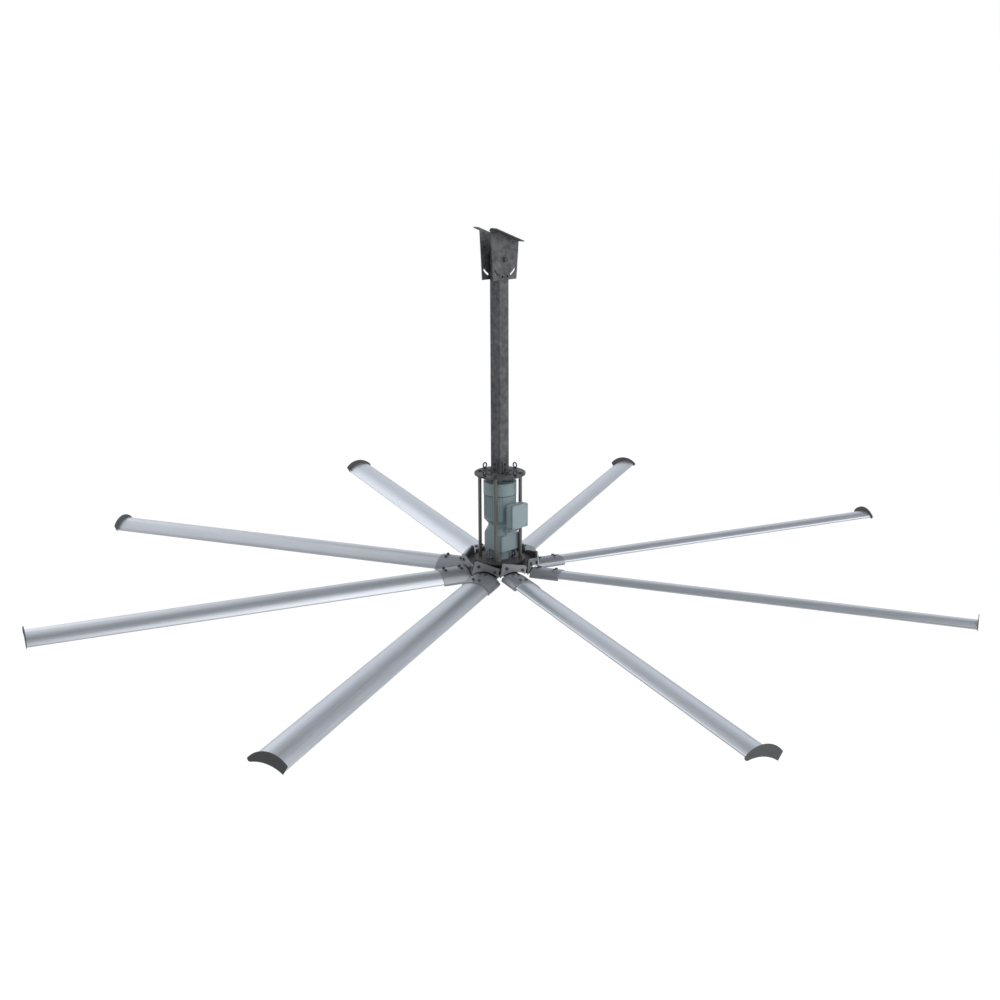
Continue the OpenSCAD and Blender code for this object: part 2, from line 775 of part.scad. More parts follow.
shield_in = 4;
shield_t = 8;
shield_hub_wall = 6;
shield_hub_h = 18;
module end_shield() color([0.50, 0.58, 0.61]) on_axis() translate([0, 0, cowl_z]) difference() {
    union() {
        cylinder(r = motor_r - shield_in, h = shield_t);
        cylinder(d = motor_bearing_d + 2 * shield_hub_wall, h = shield_hub_h);
    }
    translate([0, 0, -over]) cylinder(d = motor_shaft_d + 2 * shaft_room, h = shield_hub_h + 2 * over);
    translate([0, 0, -over]) cylinder(d = motor_bearing_d, h = motor_bearing_w + over);
}

module motor_bearings() color([0.70, 0.71, 0.73]) on_axis()
    for (z = [input_bearing_z, cowl_z])
    translate([0, 0, z])
    bearing(motor_shaft_d, motor_bearing_d, motor_bearing_w);

module stator() color([0.45, 0.30, 0.22]) on_axis() {
    translate([0, 0, core_z]) difference() {
        cylinder(r = stator_r, h = core_h);
        translate([0, 0, -over]) cylinder(r = core_r + air_gap, h = core_h + 2 * over);
    }
    for (z = [core_z - winding_h, core_z + core_h]) translate([0, 0, z]) difference() {
        cylinder(r = stator_r - winding_in, h = winding_h);
        translate([0, 0, -over]) cylinder(r = core_r + core_step, h = winding_h + 2 * over);
    }
}

seat_wall = 5;
core_seat_d = motor_shaft_d + 2 * seat_wall;
module rotor_core() color([0.55, 0.55, 0.56]) on_axis() translate([0, 0, core_z]) difference() {
    cylinder(r = core_r, h = core_h);
    translate([0, 0, -over]) cylinder(d = core_seat_d, h = core_h + 2 * over);
}

pinion_shaft_d = 14;
shaft_rise = 30;
shaft_top = cowl_z + shaft_rise;
module rotor_shaft() color([0.55, 0.56, 0.58]) on_axis() {
    translate([0, 0, fast_z + fast_h]) cylinder(d = pinion_shaft_d, h = input_bearing_z - fast_z - fast_h);
    translate([0, 0, input_bearing_z]) cylinder(d = motor_shaft_d, h = shaft_top - input_bearing_z);
    translate([0, 0, core_z - core_step]) cylinder(d = core_seat_d, h = core_h + 2 * core_step);
    translate([0, 0, fast_z - pinion_over])
        rotate([0, 0, lay_turn])
        gear(z_motor, m_fast, fast_h + 2 * pinion_over);
}

// Cooling fan on the motor shaft's end, under the cowl
vane_n = 6;
vane_t = 3;
fan_h = 26;
fan_lift = 22;
fan_in = 26;
fan_hub_wall = 7;
fan_cap = 1;
module cooling_fan() color([0.15, 0.15, 0.16]) on_axis() translate([0, 0, cowl_z + fan_lift]) difference() {
    union() {
        cylinder(r = motor_r - fan_in, h = vane_t);
        cylinder(d = motor_shaft_d + 2 * fan_hub_wall, h = fan_h);
        for (k = [0:vane_n - 1])
            rotate([0, 0, k * full / vane_n])
            translate([motor_shaft_d / 2 + fan_hub_wall - over, -vane_t / 2, 0])
            cube([motor_r - fan_in - fan_hub_wall - motor_shaft_d / 2, vane_t, fan_h]);
    }
    translate([0, 0, -over])
        cylinder(d = motor_shaft_d + 2 * run_gap, h = shaft_rise - fan_lift + over + fan_cap);
}

// Fan cowl over the end shield, with a grille of arc slots in its top
cowl_t = 2;
cowl_lap = 8;
cowl_room = 2;
lug_n = 6;
lug_w = 10;
grille_n = 5;
grille_r0 = 18;
grille_step = 13;
grille_slot = 8;
spoke_n = 4;
spoke_w = 6;
cowl_r = motor_r + rib_h + cowl_room;
module fan_cowl() color([0.52, 0.60, 0.63]) on_axis() translate([0, 0, cowl_z - cowl_lap]) {
    top = cowl_h + cowl_lap;
    difference() {
        cylinder(r = cowl_r, h = top);
        translate([0, 0, -over]) cylinder(r = cowl_r - cowl_t, h = top - cowl_t + over);
        translate([0, 0, top - 2 * cowl_t])
            for (j = [1:grille_n]) difference() {
                cylinder(r = grille_r0 + j * grille_step, h = 2 * cowl_t + over);
                cylinder(r = grille_r0 + j * grille_step - grille_slot, h = 2 * cowl_t + over);
                for (k = [0:spoke_n - 1])
                    rotate([0, 0, k * 180 / spoke_n])
                    translate([-motor_r, -spoke_w / 2])
                    cube([2 * motor_r, spoke_w, 2 * cowl_t + over]);
            }
    }
    for (k = [0:lug_n - 1])
        rotate([0, 0, (k + 0.5) * full / lug_n])
        translate([motor_r - shield_in + slip_gap, -lug_w / 2, cowl_lap])
        cube([cowl_r - cowl_t / 2 - motor_r + shield_in - slip_gap, lug_w, lug_w]);
}

// Terminal box on the motor's front, with its lid
lid_t = 12;
lid_wall = 4;
lid_rim = 8;
lid_screw_d = 5;
lid_head_d = 9;
lid_head_h = 3;
lid_screw_in = 10;
gland_d = 26;
gland_bore_d = 13;
gland_in = 6;
gland_collar_h = 8;
gland_nose_h = 12;
gland_step = 4;
term_z = motor_z + term_h / 4;
gland_y = -(term_back + term_front - lid_t) / 2;
module term_block(y0, y1, inset)
    translate([0, -y0, term_z])
    rotate([90, 0, 0])
    linear_extrude(y1 - y0)
    round_block(term_w / 2 - inset, term_h / 2 - inset, term_h / 2 - inset, box_round - inset / 2);

module terminal_box() color([0.52, 0.60, 0.63]) on_axis() difference() {
    term_block(term_back, term_front - lid_t, 0);
    term_block(term_back + term_wall, term_front - lid_t + over, term_wall);
    translate([0, -term_back + over, term_neck_mid]) rotate([90, 0, 0])
        cylinder(d = wire_hole_d, h = term_wall + 2 * over);
    translate([0, gland_y, term_z - term_h / 2 - over]) cylinder(d = gland_d, h = term_wall + 2 * over);
}

module terminal_lid() color([0.56, 0.64, 0.67]) on_axis() difference() {
    term_block(term_front - lid_t, term_front, 0);
    term_block(term_front - lid_t - over, term_front - lid_wall, lid_rim);
    lid_places() translate([0, 0, -over]) cylinder(d = lid_screw_d + 2 * slip_gap, h = lid_t + 2 * over);
}

module lid_places()
    for (x = [-1, 1], z = [-1, 1])
    translate([x * (term_w / 2 - lid_screw_in), lid_t - term_front, term_z])
    translate([0, 0, z * (term_h / 2 - lid_screw_in)])
    rotate([90, 0, 0])
    children();

module lid_screws() color([0.40, 0.41, 0.42]) on_axis() lid_places() {
    cylinder(d = lid_screw_d, h = lid_t);
    translate([0, 0, lid_t]) cylinder(d = lid_head_d, h = lid_head_h);
}

module cable_gland() color([0.12, 0.12, 0.13]) on_axis() translate([0, gland_y, term_z - term_h / 2])
    difference() {
        union() {
            cylinder(d = gland_d - 2 * slip_gap, h = term_wall + gland_in);
            translate([0, 0, -gland_collar_h]) hex_prism(gland_d + gland_step, gland_collar_h);
            translate([0, 0, -gland_collar_h - gland_nose_h])
                cylinder(d1 = gland_d - 2 * gland_step, d2 = gland_d, h = gland_nose_h);
        }
        translate([0, 0, -gland_collar_h - gland_nose_h - over])
            cylinder(d = gland_bore_d, h = gland_collar_h + gland_nose_h + term_wall + gland_in + 2 * over);
    }

// Channel brackets that carry the gearbox on the base plate, open towards the neck
bracket_w = 34;
bracket_t = 5;
bracket_in = 53;
bracket_out = 75;
bracket_hole_d = 10;
bracket_hole_z = [18, 45];
channel_in = bracket_out - bracket_t - bracket_in;
module mounting_brackets() color([0.42, 0.43, 0.44]) on_axis()
    for (side = [0, 1], y = [-foot_front, foot_rear])
    mirror([side, 0, 0])
    translate([0, y, base_top]) difference() {
        translate([bracket_in, -bracket_w / 2, 0])
            cube([bracket_out - bracket_in, bracket_w, lantern_h]);
        translate([bracket_in - over, -bracket_w / 2 - over, bracket_t])
            cube([channel_in + over, bracket_w + 2 * over, lantern_h - 2 * bracket_t]);
        translate([foot_x, 0, -over])
            cylinder(d = foot_bolt_d + 2 * slip_gap, h = lantern_h + 2 * over);
        for (z = bracket_hole_z)
            translate([bracket_in, 0, z]) rotate([0, 90, 0])
            cylinder(d = bracket_hole_d, h = bracket_out);
    }

module bracket_bolts() color([0.25, 0.26, 0.28]) on_axis() at_feet() {
    nut_h = foot_bolt_d * head_h_share;
    translate([0, 0, base_z - nut_h]) {
        bolt(foot_bolt_d, nut_h + cage_t + bracket_t);
        hex_prism(foot_bolt_d * head_af_share, nut_h);
    }
    translate([0, 0, box_z + foot_bolt_in]) rotate([180, 0, 0])
        bolt(foot_bolt_d, foot_bolt_in + bracket_t);
}

// Cage: two round plates held apart by four rods with threaded ends
stud_d = 12;
stud_over = 1;
module at_rods()
    for (k = [0:3])
    rotate([0, 0, rod_turn + k * full / 4])
    translate([rod_circle_r, 0, 0])
    children();

module cage_base_plate() color([0.36, 0.37, 0.38]) on_axis() translate([0, 0, base_z]) difference() {
    cylinder(r = cage_r, h = cage_t);
    translate([0, 0, -over]) {
        cylinder(r = out_neck_r + slip_gap, h = cage_t + 2 * over);
        at_rods() cylinder(d = stud_d + 2 * slip_gap, h = cage_t + 2 * over);
        at_feet() cylinder(d = foot_bolt_d + 2 * slip_gap, h = cage_t + 2 * over);
    }
}

module cage_rods() color([0.22, 0.23, 0.24]) on_axis() at_rods() {
    stud_end = stud_d * head_h_share + stud_over;
    translate([0, 0, base_top]) cylinder(d = rod_d, h = top_z - base_top);
    translate([0, 0, base_z - stud_end]) cylinder(d = stud_d, h = top_top - base_z + 2 * stud_end);
}

module rod_nuts() color([0.50, 0.51, 0.53]) on_axis() at_rods() {
    translate([0, 0, top_top]) nut(stud_d);
    translate([0, 0, base_z - stud_d * head_h_share]) nut(stud_d);
}

// Angle cleats that hold the drop tube on the top plate
cleat_w = 44;
cleat_t = 6;
cleat_h = 76;
cleat_leg = 48;
cleat_bolt_d = 10;
cleat_bolt_z = [26, 55];
cleat_foot_r = 28;
eye_shank_d = 10;
eye_collar_d = 22;
eye_collar_h = 5;
module around_tube() on_axis()
    for (k = [0:3])
    rotate([0, 0, k * full / 4])
    translate([tube_w / 2, 0, top_top])
    children();

module tube_cleats() color([0.30, 0.31, 0.32]) around_tube() difference() {
    translate([0, -cleat_w / 2, 0]) cube([cleat_leg, cleat_w, cleat_h]);
    translate([cleat_t, -cleat_w / 2 - over, cleat_t]) cube([cleat_leg, cleat_w + 2 * over, cleat_h]);
    translate([cleat_foot_r, 0, -over]) cylinder(d = cleat_bolt_d + 2 * slip_gap, h = cleat_t + 2 * over);
    for (z = cleat_bolt_z) translate([-over, 0, z]) rotate([0, 90, 0])
        cylinder(d = cleat_bolt_d + 2 * slip_gap, h = cleat_t + 2 * over);
}

module cleat_bolts() color([0.50, 0.51, 0.53]) around_tube() {
    nut_h = cleat_bolt_d * head_h_share;
    translate([cleat_foot_r, 0, -cage_t - nut_h]) {
        bolt(cleat_bolt_d, nut_h + cage_t + cleat_t);
        hex_prism(cleat_bolt_d * head_af_share, nut_h);
    }
    for (z = cleat_bolt_z) translate([-tube_t - nut_h, 0, z]) rotate([0, 90, 0]) {
        bolt(cleat_bolt_d, nut_h + tube_t + cleat_t);
        hex_prism(cleat_bolt_d * head_af_share, nut_h);
    }
}

module cage_top_plate() color([0.30, 0.31, 0.32]) on_axis() translate([0, 0, top_z]) difference() {
    cylinder(r = cage_r, h = cage_t);
    translate([0, 0, -over]) {
        cylinder(d = tube_w / 2, h = cage_t + 2 * over);
        at_rods() cylinder(d = stud_d + 2 * slip_gap, h = cage_t + 2 * over);
        for (k = [0:3]) rotate([0, 0, k * full / 4]) {
            translate([eye_circle_r, 0, 0]) cylinder(d = eye_shank_d + 2 * slip_gap, h = cage_t + 2 * over);
            translate([tube_w / 2 + cleat_foot_r, 0, 0])
                cylinder(d = cleat_bolt_d + 2 * slip_gap, h = cage_t + 2 * over);
        }
    }
}

module eye_bolts() color([0.55, 0.56, 0.58]) on_axis()
    for (k = [0:3])
    rotate([0, 0, k * full / 4])
    translate([eye_circle_r, 0, top_z]) {
        nut_h = eye_shank_d * head_h_share;
        eye_r = (eye_d + eye_bar_d) / 2;
        translate([0, 0, -nut_h - stud_over])
            cylinder(d = eye_shank_d, h = cage_t + nut_h + stud_over + over);
        translate([0, 0, -nut_h]) hex_prism(eye_shank_d * head_af_share, nut_h);
        translate([0, 0, cage_t]) cylinder(d = eye_collar_d, h = eye_collar_h);
        translate([0, 0, cage_t + eye_collar_h + eye_r + eye_bar_d / 4])
            rotate([0, 90, 0])
            rotate_extrude()
            translate([eye_r, 0])
            circle(d = eye_bar_d, $fn = 32);
    }

// Drop tube, a square hollow section with rounded corners
tube_round = 8;
bush_d = 26;
module square_round(w, r) {
    square([w, w - 2 * r], center = true);
    square([w - 2 * r, w], center = true);
    for (x = [-1, 1], y = [-1, 1]) translate([x, y] * (w / 2 - r)) circle(r = r);
}
module at_pivot() translate([0, 0, -pivot_drop]) rotate([90, 0, 0]) children();
lock_hole_a = 11.7;
module at_lock_holes() for (s = [-1, 1]) rotate(s * lock_hole_a) translate([0, -lock_r]) children();

module drop_tube() color([0.38, 0.39, 0.40]) difference() {
    on_axis() translate([0, 0, top_top]) linear_extrude(tube_len) difference() {
        square_round(tube_w, tube_round);
        square_round(tube_w - 2 * tube_t, tube_round - tube_t);
    }
    at_pivot() {
        cylinder(d = bush_d, h = 2 * tube_w, center = true);
        at_lock_holes() cylinder(d = lock_w, h = 2 * tube_w, center = true);
    }
    on_axis() translate([0, 0, top_top]) for (k = [0:3], z = cleat_bolt_z)
        rotate([0, 0, k * full / 4]) translate([0, 0, z]) rotate([0, 90, 0])
        cylinder(d = cleat_bolt_d + 2 * slip_gap, h = tube_w);
}

module pivot_bush() color([0.52, 0.53, 0.55]) at_pivot() difference() {
    cylinder(d = bush_d, h = tube_w, center = true);
    cylinder(d = pivot_d + 2 * run_gap, h = tube_w + 2 * over, center = true);
}

// Hanger plates: level below, sloped above, with a flange bent out along the slope
plate_y = tube_w / 2 + slip_gap;
bend_r = 12;
slot_from = 29;
slot_to = 53;
slot_end_share = 0.98;
function slope_z(x) = -x * tan(roof_slope);

module lock_slot(a0, a1) {
    for (a = [a0, a1]) rotate(a) translate([0, -lock_r]) circle(d = lock_w * slot_end_share, $fn = 48);
    intersection() {
        difference() {
            circle(r = lock_r + lock_w / 2);
            circle(r = lock_r - lock_w / 2);
        }
        polygon([[0, 0], 2 * lock_r * [sin(a0), -cos(a0)], 2 * lock_r * [sin(a1), -cos(a1)]]);
    }
}

module hanger_blank() difference() {
    polygon([
        [-hanger_w_low / 2, -hanger_h],
        [hanger_w_low / 2, -hanger_h],
        [hanger_w_top / 2, slope_z(hanger_w_top / 2) - bend_r],
        [-hanger_w_top / 2, slope_z(-hanger_w_top / 2) - bend_r]
    ]);
    translate([0, -pivot_drop]) {
        circle(d = pivot_d + 2 * run_gap);
        at_lock_holes() circle(d = lock_w, $fn = 48);
        for (s = [-1, 1]) lock_slot(s * slot_from, s * slot_to);
    }
}

// Flange, bend and a short lap on the plate, as a profile across the beam
module flange_profile() {
    translate([bend_r, -hanger_t]) square([flange_w - bend_r, hanger_t]);
    intersection() {
        translate([bend_r, -bend_r]) difference() {
            circle(r = bend_r);
            circle(r = bend_r - hanger_t);
        }
        translate([0, -bend_r]) square(bend_r);
    }
    translate([0, -bend_r - hanger_t]) square([hanger_t, hanger_t]);
}

module hanger_plate() difference() {
    union() {
        translate([0, plate_y + hanger_t, 0]) rotate([90, 0, 0]) linear_extrude(hanger_t) hanger_blank();
        rotate([0, roof_slope, 0])
            translate([-hanger_w_top / 2 / cos(roof_slope), plate_y, 0])
            rotate([90, 0, 90])
            linear_extrude(hanger_w_top / cos(roof_slope))
            flange_profile();
    }
    rotate([0, roof_slope, 0]) for (x = [-beam_hole_gap / 2, beam_hole_gap / 2])
        translate([x, beam_hole_gap / 2, -hanger_t - over])
        cylinder(d = beam_hole_d, h = hanger_t + 2 * over);
}

module hanger_plate_rear() color([0.40, 0.41, 0.42]) hanger_plate();
module hanger_plate_front() color([0.40, 0.41, 0.42]) mirror([0, 1, 0]) hanger_plate();

grip_y = plate_y + hanger_t;
module pivot_bolt() color([0.30, 0.31, 0.33]) at_pivot() translate([0, 0, -grip_y - pivot_d])
    bolt(pivot_d, 2 * grip_y + pivot_d);

module pivot_nut() color([0.30, 0.31, 0.33]) at_pivot() translate([0, 0, -grip_y]) rotate([180, 0, 0])
    nut(pivot_d);

hanger_plate_front();
hanger_plate_rear();
pivot_bolt();
pivot_nut();
drop_tube();
pivot_bush();
tube_cleats();
cleat_bolts();
cage_top_plate();
eye_bolts();
cage_rods();
rod_nuts();
cage_base_plate();
mounting_brackets();
bracket_bolts();
motor_housing();
fan_cowl();
stator();
end_shield();
motor_flange();
terminal_box();
terminal_lid();
lid_screws();
cable_gland();
gearbox_housing();
gearbox_cover();
motor_bearings();
layshaft_bearings();
output_bearings();
output_seal();
rotor_shaft();
rotor_core();
cooling_fan();
layshaft();
layshaft_wheel();
output_shaft();
output_wheel();
hub_spider();
hub_pan();
face_plates();
face_bolts();
shaft_end_bolt();
holder_bolts();
end_caps();
for (i = [1:blade_count]) {
    blade_holder(i);
    blade(i);
}
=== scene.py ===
"""Looks of a large barn ventilation fan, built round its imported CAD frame.

Metres, +Z up. The origin is on the fan's axis in the sloped plane of the roof beam.
"""

from __future__ import annotations

import json
import logging
import math
from dataclasses import dataclass
from enum import Enum

import bpy
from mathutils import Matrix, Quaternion, Vector

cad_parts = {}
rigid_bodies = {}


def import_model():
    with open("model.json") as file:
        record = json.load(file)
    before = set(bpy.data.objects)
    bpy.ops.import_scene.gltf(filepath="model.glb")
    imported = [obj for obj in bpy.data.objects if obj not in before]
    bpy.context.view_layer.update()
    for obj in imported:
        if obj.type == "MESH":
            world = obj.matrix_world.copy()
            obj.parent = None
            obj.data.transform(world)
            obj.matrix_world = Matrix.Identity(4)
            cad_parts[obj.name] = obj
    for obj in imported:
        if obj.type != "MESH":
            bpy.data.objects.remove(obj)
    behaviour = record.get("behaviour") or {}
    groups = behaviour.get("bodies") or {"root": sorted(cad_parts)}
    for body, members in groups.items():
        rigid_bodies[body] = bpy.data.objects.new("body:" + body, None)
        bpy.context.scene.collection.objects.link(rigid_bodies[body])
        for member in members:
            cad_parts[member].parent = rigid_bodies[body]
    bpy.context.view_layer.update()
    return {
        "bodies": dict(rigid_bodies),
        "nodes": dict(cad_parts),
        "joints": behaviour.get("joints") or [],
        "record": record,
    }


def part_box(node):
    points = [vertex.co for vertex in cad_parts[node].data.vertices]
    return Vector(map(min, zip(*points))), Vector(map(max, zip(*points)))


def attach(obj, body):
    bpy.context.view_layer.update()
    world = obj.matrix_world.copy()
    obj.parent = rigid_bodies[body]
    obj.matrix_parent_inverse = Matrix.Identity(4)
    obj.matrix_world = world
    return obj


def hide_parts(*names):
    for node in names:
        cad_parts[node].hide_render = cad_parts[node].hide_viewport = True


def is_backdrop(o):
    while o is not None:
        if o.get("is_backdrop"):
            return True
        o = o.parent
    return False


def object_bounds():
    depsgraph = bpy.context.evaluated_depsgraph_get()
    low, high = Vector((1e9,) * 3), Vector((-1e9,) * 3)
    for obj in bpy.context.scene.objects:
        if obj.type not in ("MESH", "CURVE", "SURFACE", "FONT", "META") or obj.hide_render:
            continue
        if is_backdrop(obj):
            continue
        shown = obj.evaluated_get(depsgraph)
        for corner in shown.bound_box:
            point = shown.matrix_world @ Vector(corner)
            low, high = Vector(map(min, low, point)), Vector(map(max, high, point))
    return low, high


LOG = logging.getLogger("fan")
MM = 0.001
UP = Vector((0.0, 0.0, 1.0))
# Depth of the blades' plane below the origin
DROP = 1.99
# Angle of the first blade at rest, and from each blade to the next, in degrees
REST_TURN = 24.0
BLADE_COUNT = 8
BLADE_STEP = 360.0 / BLADE_COUNT
Pair = tuple[float, float]
Triple = tuple[float, float, float]
FRAME: dict = {}


class Pattern(Enum):
    """How a finish's pattern is scaled along x, y and z, where less draws it out."""

    MOTTLED = (1.0, 1.0, 1.0)
    BRUSHED = (0.04, 1.0, 1.0)


@dataclass(frozen=True)
class Surface:
    """The shader node group that every finish shares.

    It mixes a light and a dark colour by cloudy noise, lays dust on patches, and gives a
    roughness and a height to go with them. Attributes hold the detail of each noise,
    its scale in cycles per metre where the finish doesn't set it, the band of noise
    that is stretched from none to all, and the colour of the dust.
    """

    name: str = "surface"
    cloud_detail: float = 5.0
    cloud_rough: float = 0.6
    cloud_band: Pair = (0.34, 0.66)
    speck_scale: float = 900.0
    speck_detail: float = 2.0
    dust_scale: float = 7.0
    dust_detail: float = 6.0
    dust_band: Pair = (0.45, 0.75)
    dust_colour: Triple = (0.34, 0.32, 0.29)

    def tree(self) -> bpy.types.NodeTree:
        """Build the group, or give back the one built before.

        Returns:
            The group.
        """
        if self.name in bpy.data.node_groups:
            return bpy.data.node_groups[self.name]
        group = bpy.data.node_groups.new(self.name, "ShaderNodeTree")
        self.sockets(group)
        new, link = group.nodes.new, group.links.new
        enter, leave = new("NodeGroupInput"), new("NodeGroupOutput")
        cloud = self.noise(group, enter.outputs["Place"], self.cloud_detail)
        cloud.inputs["Roughness"].default_value = self.cloud_rough
        link(enter.outputs["Scale"], cloud.inputs["Scale"])
        share = self.stretched(group, cloud.outputs["Fac"], self.cloud_band)
        blend = self.mix(group, share, enter.outputs["Dark"])
        link(enter.outputs["Light"], blend.inputs["B"])
        speck = self.noise(group, enter.outputs["Place"], self.speck_detail)
        speck.inputs["Scale"].default_value = self.speck_scale
        patch = self.noise(group, enter.outputs["Where"], self.dust_detail)
        patch.inputs["Scale"].default_value = self.dust_scale
        cover = new("ShaderNodeMath")
        cover.operation = "MULTIPLY"
        link(self.stretched(group, patch.outputs["Fac"], self.dust_band), cover.inputs[0])
        link(enter.outputs["Dust"], cover.inputs[1])
        dusted = self.mix(group, cover.outputs["Value"], blend.outputs["Result"])
        dusted.inputs["B"].default_value = (*self.dust_colour, 1.0)
        link(dusted.outputs["Result"], leave.inputs["Colour"])
        rough = new("ShaderNodeMapRange")
        link(cloud.outputs["Fac"], rough.inputs["Value"])
        link(enter.outputs["Smoothest"], rough.inputs["To Min"])
        link(enter.outputs["Roughest"], rough.inputs["To Max"])
        link(rough.outputs["Result"], leave.inputs["Roughness"])
        height = new("ShaderNodeMath")
        height.operation = "ADD"
        link(cloud.outputs["Fac"], height.inputs[0])
        link(speck.outputs["Fac"], height.inputs[1])
        link(height.outputs["Value"], leave.inputs["Height"])
        return group

    @staticmethod
    def sockets(group: bpy.types.NodeTree) -> None:
        """Give the group its named inputs and outputs.

        Args:
            group: The group.
        """
        for way, kind, names in (
            ("INPUT", "NodeSocketVector", ("Place", "Where")),
            ("INPUT", "NodeSocketColor", ("Light", "Dark")),
            ("INPUT", "NodeSocketFloat", ("Scale", "Smoothest", "Roughest", "Dust")),
            ("OUTPUT", "NodeSocketColor", ("Colour",)),
            ("OUTPUT", "NodeSocketFloat", ("Roughness", "Height")),
        ):
            for name in names:
                group.interface.new_socket(name=name, in_out=way, socket_type=kind)

    @staticmethod
    def noise(
        group: bpy.types.NodeTree, place: bpy.types.NodeSocket, detail: float
    ) -> bpy.types.Node:
        """Add a noise texture.

        Args:
            group: The group.
            place: The socket that gives the place.
            detail: The number of its octaves.

        Returns:
            The texture's node.
        """
        node = group.nodes.new("ShaderNodeTexNoise")
        node.inputs["Detail"].default_value = detail
        group.links.new(place, node.inputs["Vector"])
        return node

    @staticmethod
    def stretched(
        group: bpy.types.NodeTree, value: bpy.types.NodeSocket, band: Pair
    ) -> bpy.types.NodeSocket:
        """Stretch a band of a value to the range from 0 to 1.

        Args:
            group: The group.
            value: The socket that gives the value.
            band: The lower and the upper end of the band.

        Returns:
            The socket that gives the stretched value.
        """
        node = group.nodes.new("ShaderNodeMapRange")
        node.inputs["From Min"].default_value, node.inputs["From Max"].default_value = band
        group.links.new(value, node.inputs["Value"])
        return node.outputs["Result"]

    @staticmethod
    def mix(
        group: bpy.types.NodeTree, share: bpy.types.NodeSocket, first: bpy.types.NodeSocket
    ) -> bpy.types.Node:
        """Add a colour mix, and leave its second colour to the caller.

        Args:
            group: The group.
            share: The socket that gives the second colour's share.
            first: The socket that gives the first colour.

        Returns:
            The mix's node.
        """
        node = group.nodes.new("ShaderNodeMix")
        node.data_type = "RGBA"
        group.links.new(share, node.inputs["Factor"])
        group.links.new(first, node.inputs["A"])
        return node


@dataclass(frozen=True)
class Finish:
    """One finish, from which a material is made.

    Attributes hold the two colours that the pattern mixes, the pattern's scale in
    cycles per metre, the least and the most roughness, the share of metal, the
    strength of the grain, the weight and roughness of a clear coat, the share of dust,
    the pattern, and the height that the grain stands for.
    """

    name: str
    light: Triple
    dark: Triple
    scale: float
    rough: Pair
    metallic: float = 0.0
    grain: float = 0.1
    coat: float = 0.0
    coat_rough: float = 0.25
    dust: float = 0.15
    pattern: Pattern = Pattern.MOTTLED
    relief: float = 0.8 * MM

    def material(self, turn: float = 0.0) -> bpy.types.Material:
        """Make the material, or give back the one made before.

        Args:
            turn: Angle about the fan's axis that a brushed pattern follows, in degrees.

        Returns:
            The material.
        """
        key = f"{self.name}_{round(turn)}" if turn else self.name
        if key in bpy.data.materials:
            return bpy.data.materials[key]
        made = bpy.data.materials.new(key)
        made.use_nodes = True
        tree = made.node_tree
        shader = tree.nodes["Principled BSDF"]
        shader.inputs["Metallic"].default_value = self.metallic
        if self.coat:
            shader.inputs["Coat Weight"].default_value = self.coat
            shader.inputs["Coat Roughness"].default_value = self.coat_rough
        skin = self.skin(tree, turn)
        tree.links.new(skin.outputs["Colour"], shader.inputs["Base Color"])
        tree.links.new(skin.outputs["Roughness"], shader.inputs["Roughness"])
        bump = tree.nodes.new("ShaderNodeBump")
        bump.inputs["Strength"].default_value = self.grain
        bump.inputs["Distance"].default_value = self.relief
        tree.links.new(skin.outputs["Height"], bump.inputs["Height"])
        tree.links.new(bump.outputs["Normal"], shader.inputs["Normal"])
        return made

    def skin(self, tree: bpy.types.NodeTree, turn: float) -> bpy.types.Node:
        """Place the shared group in a material, with this finish's values.

        Args:
            tree: The material's nodes.
            turn: Angle about the fan's axis that a brushed pattern follows, in degrees.

        Returns:
            The group's node.
        """
        place = tree.nodes.new("ShaderNodeTexCoord")
        turned = tree.nodes.new("ShaderNodeMapping")
        turned.inputs["Rotation"].default_value = (0.0, 0.0, math.radians(-turn))
        tree.links.new(place.outputs["Object"], turned.inputs["Vector"])
        drawn = tree.nodes.new("ShaderNodeMapping")
        drawn.inputs["Scale"].default_value = self.pattern.value
        tree.links.new(turned.outputs["Vector"], drawn.inputs["Vector"])
        skin = tree.nodes.new("ShaderNodeGroup")
        skin.node_tree = Surface().tree()
        tree.links.new(drawn.outputs["Vector"], skin.inputs["Place"])
        tree.links.new(place.outputs["Object"], skin.inputs["Where"])
        skin.inputs["Light"].default_value = (*self.light, 1.0)
        skin.inputs["Dark"].default_value = (*self.dark, 1.0)
        skin.inputs["Scale"].default_value = self.scale
        skin.inputs["Smoothest"].default_value, skin.inputs["Roughest"].default_value = self.rough
        skin.inputs["Dust"].default_value = self.dust
        return skin


GALVANISED = Finish(
    "galvanised",
    light=(0.19, 0.19, 0.197),
    dark=(0.10, 0.10, 0.104),
    scale=38.0,
    rough=(0.38, 0.62),
    metallic=0.45,
    grain=0.25,
)
DARK_GALVANISED = Finish(
    "dark_galvanised",
    light=(0.155, 0.156, 0.165),
    dark=(0.06, 0.06, 0.064),
    scale=30.0,
    rough=(0.42, 0.68),
    metallic=0.35,
    grain=0.3,
)
# Painted shade: the hub pan and the cage base plate are darkened to stand for the shade in the
# recess under the base plate.
SHADE_DARK_PLATE = Finish(
    "plate_painted_shade",
    light=(0.075, 0.075, 0.078),
    dark=(0.035, 0.035, 0.036),
    scale=30.0,
    rough=(0.45, 0.7),
    metallic=0.3,
    grain=0.3,
)
ROD_STEEL = Finish(
    "rod_steel",
    light=(0.10, 0.095, 0.09),
    dark=(0.045, 0.042, 0.04),
    scale=60.0,
    rough=(0.35, 0.6),
    metallic=0.7,
    grain=0.2,
)
ZINC = Finish(
    "zinc",
    light=(0.50, 0.50, 0.50),
    dark=(0.30, 0.30, 0.31),
    scale=120.0,
    rough=(0.3, 0.5),
    metallic=0.9,
)
DARK_ZINC = Finish(
    "dark_zinc",
    light=(0.16, 0.16, 0.165),
    dark=(0.08, 0.08, 0.085),
    scale=120.0,
    rough=(0.35, 0.55),
    metallic=0.85,
)
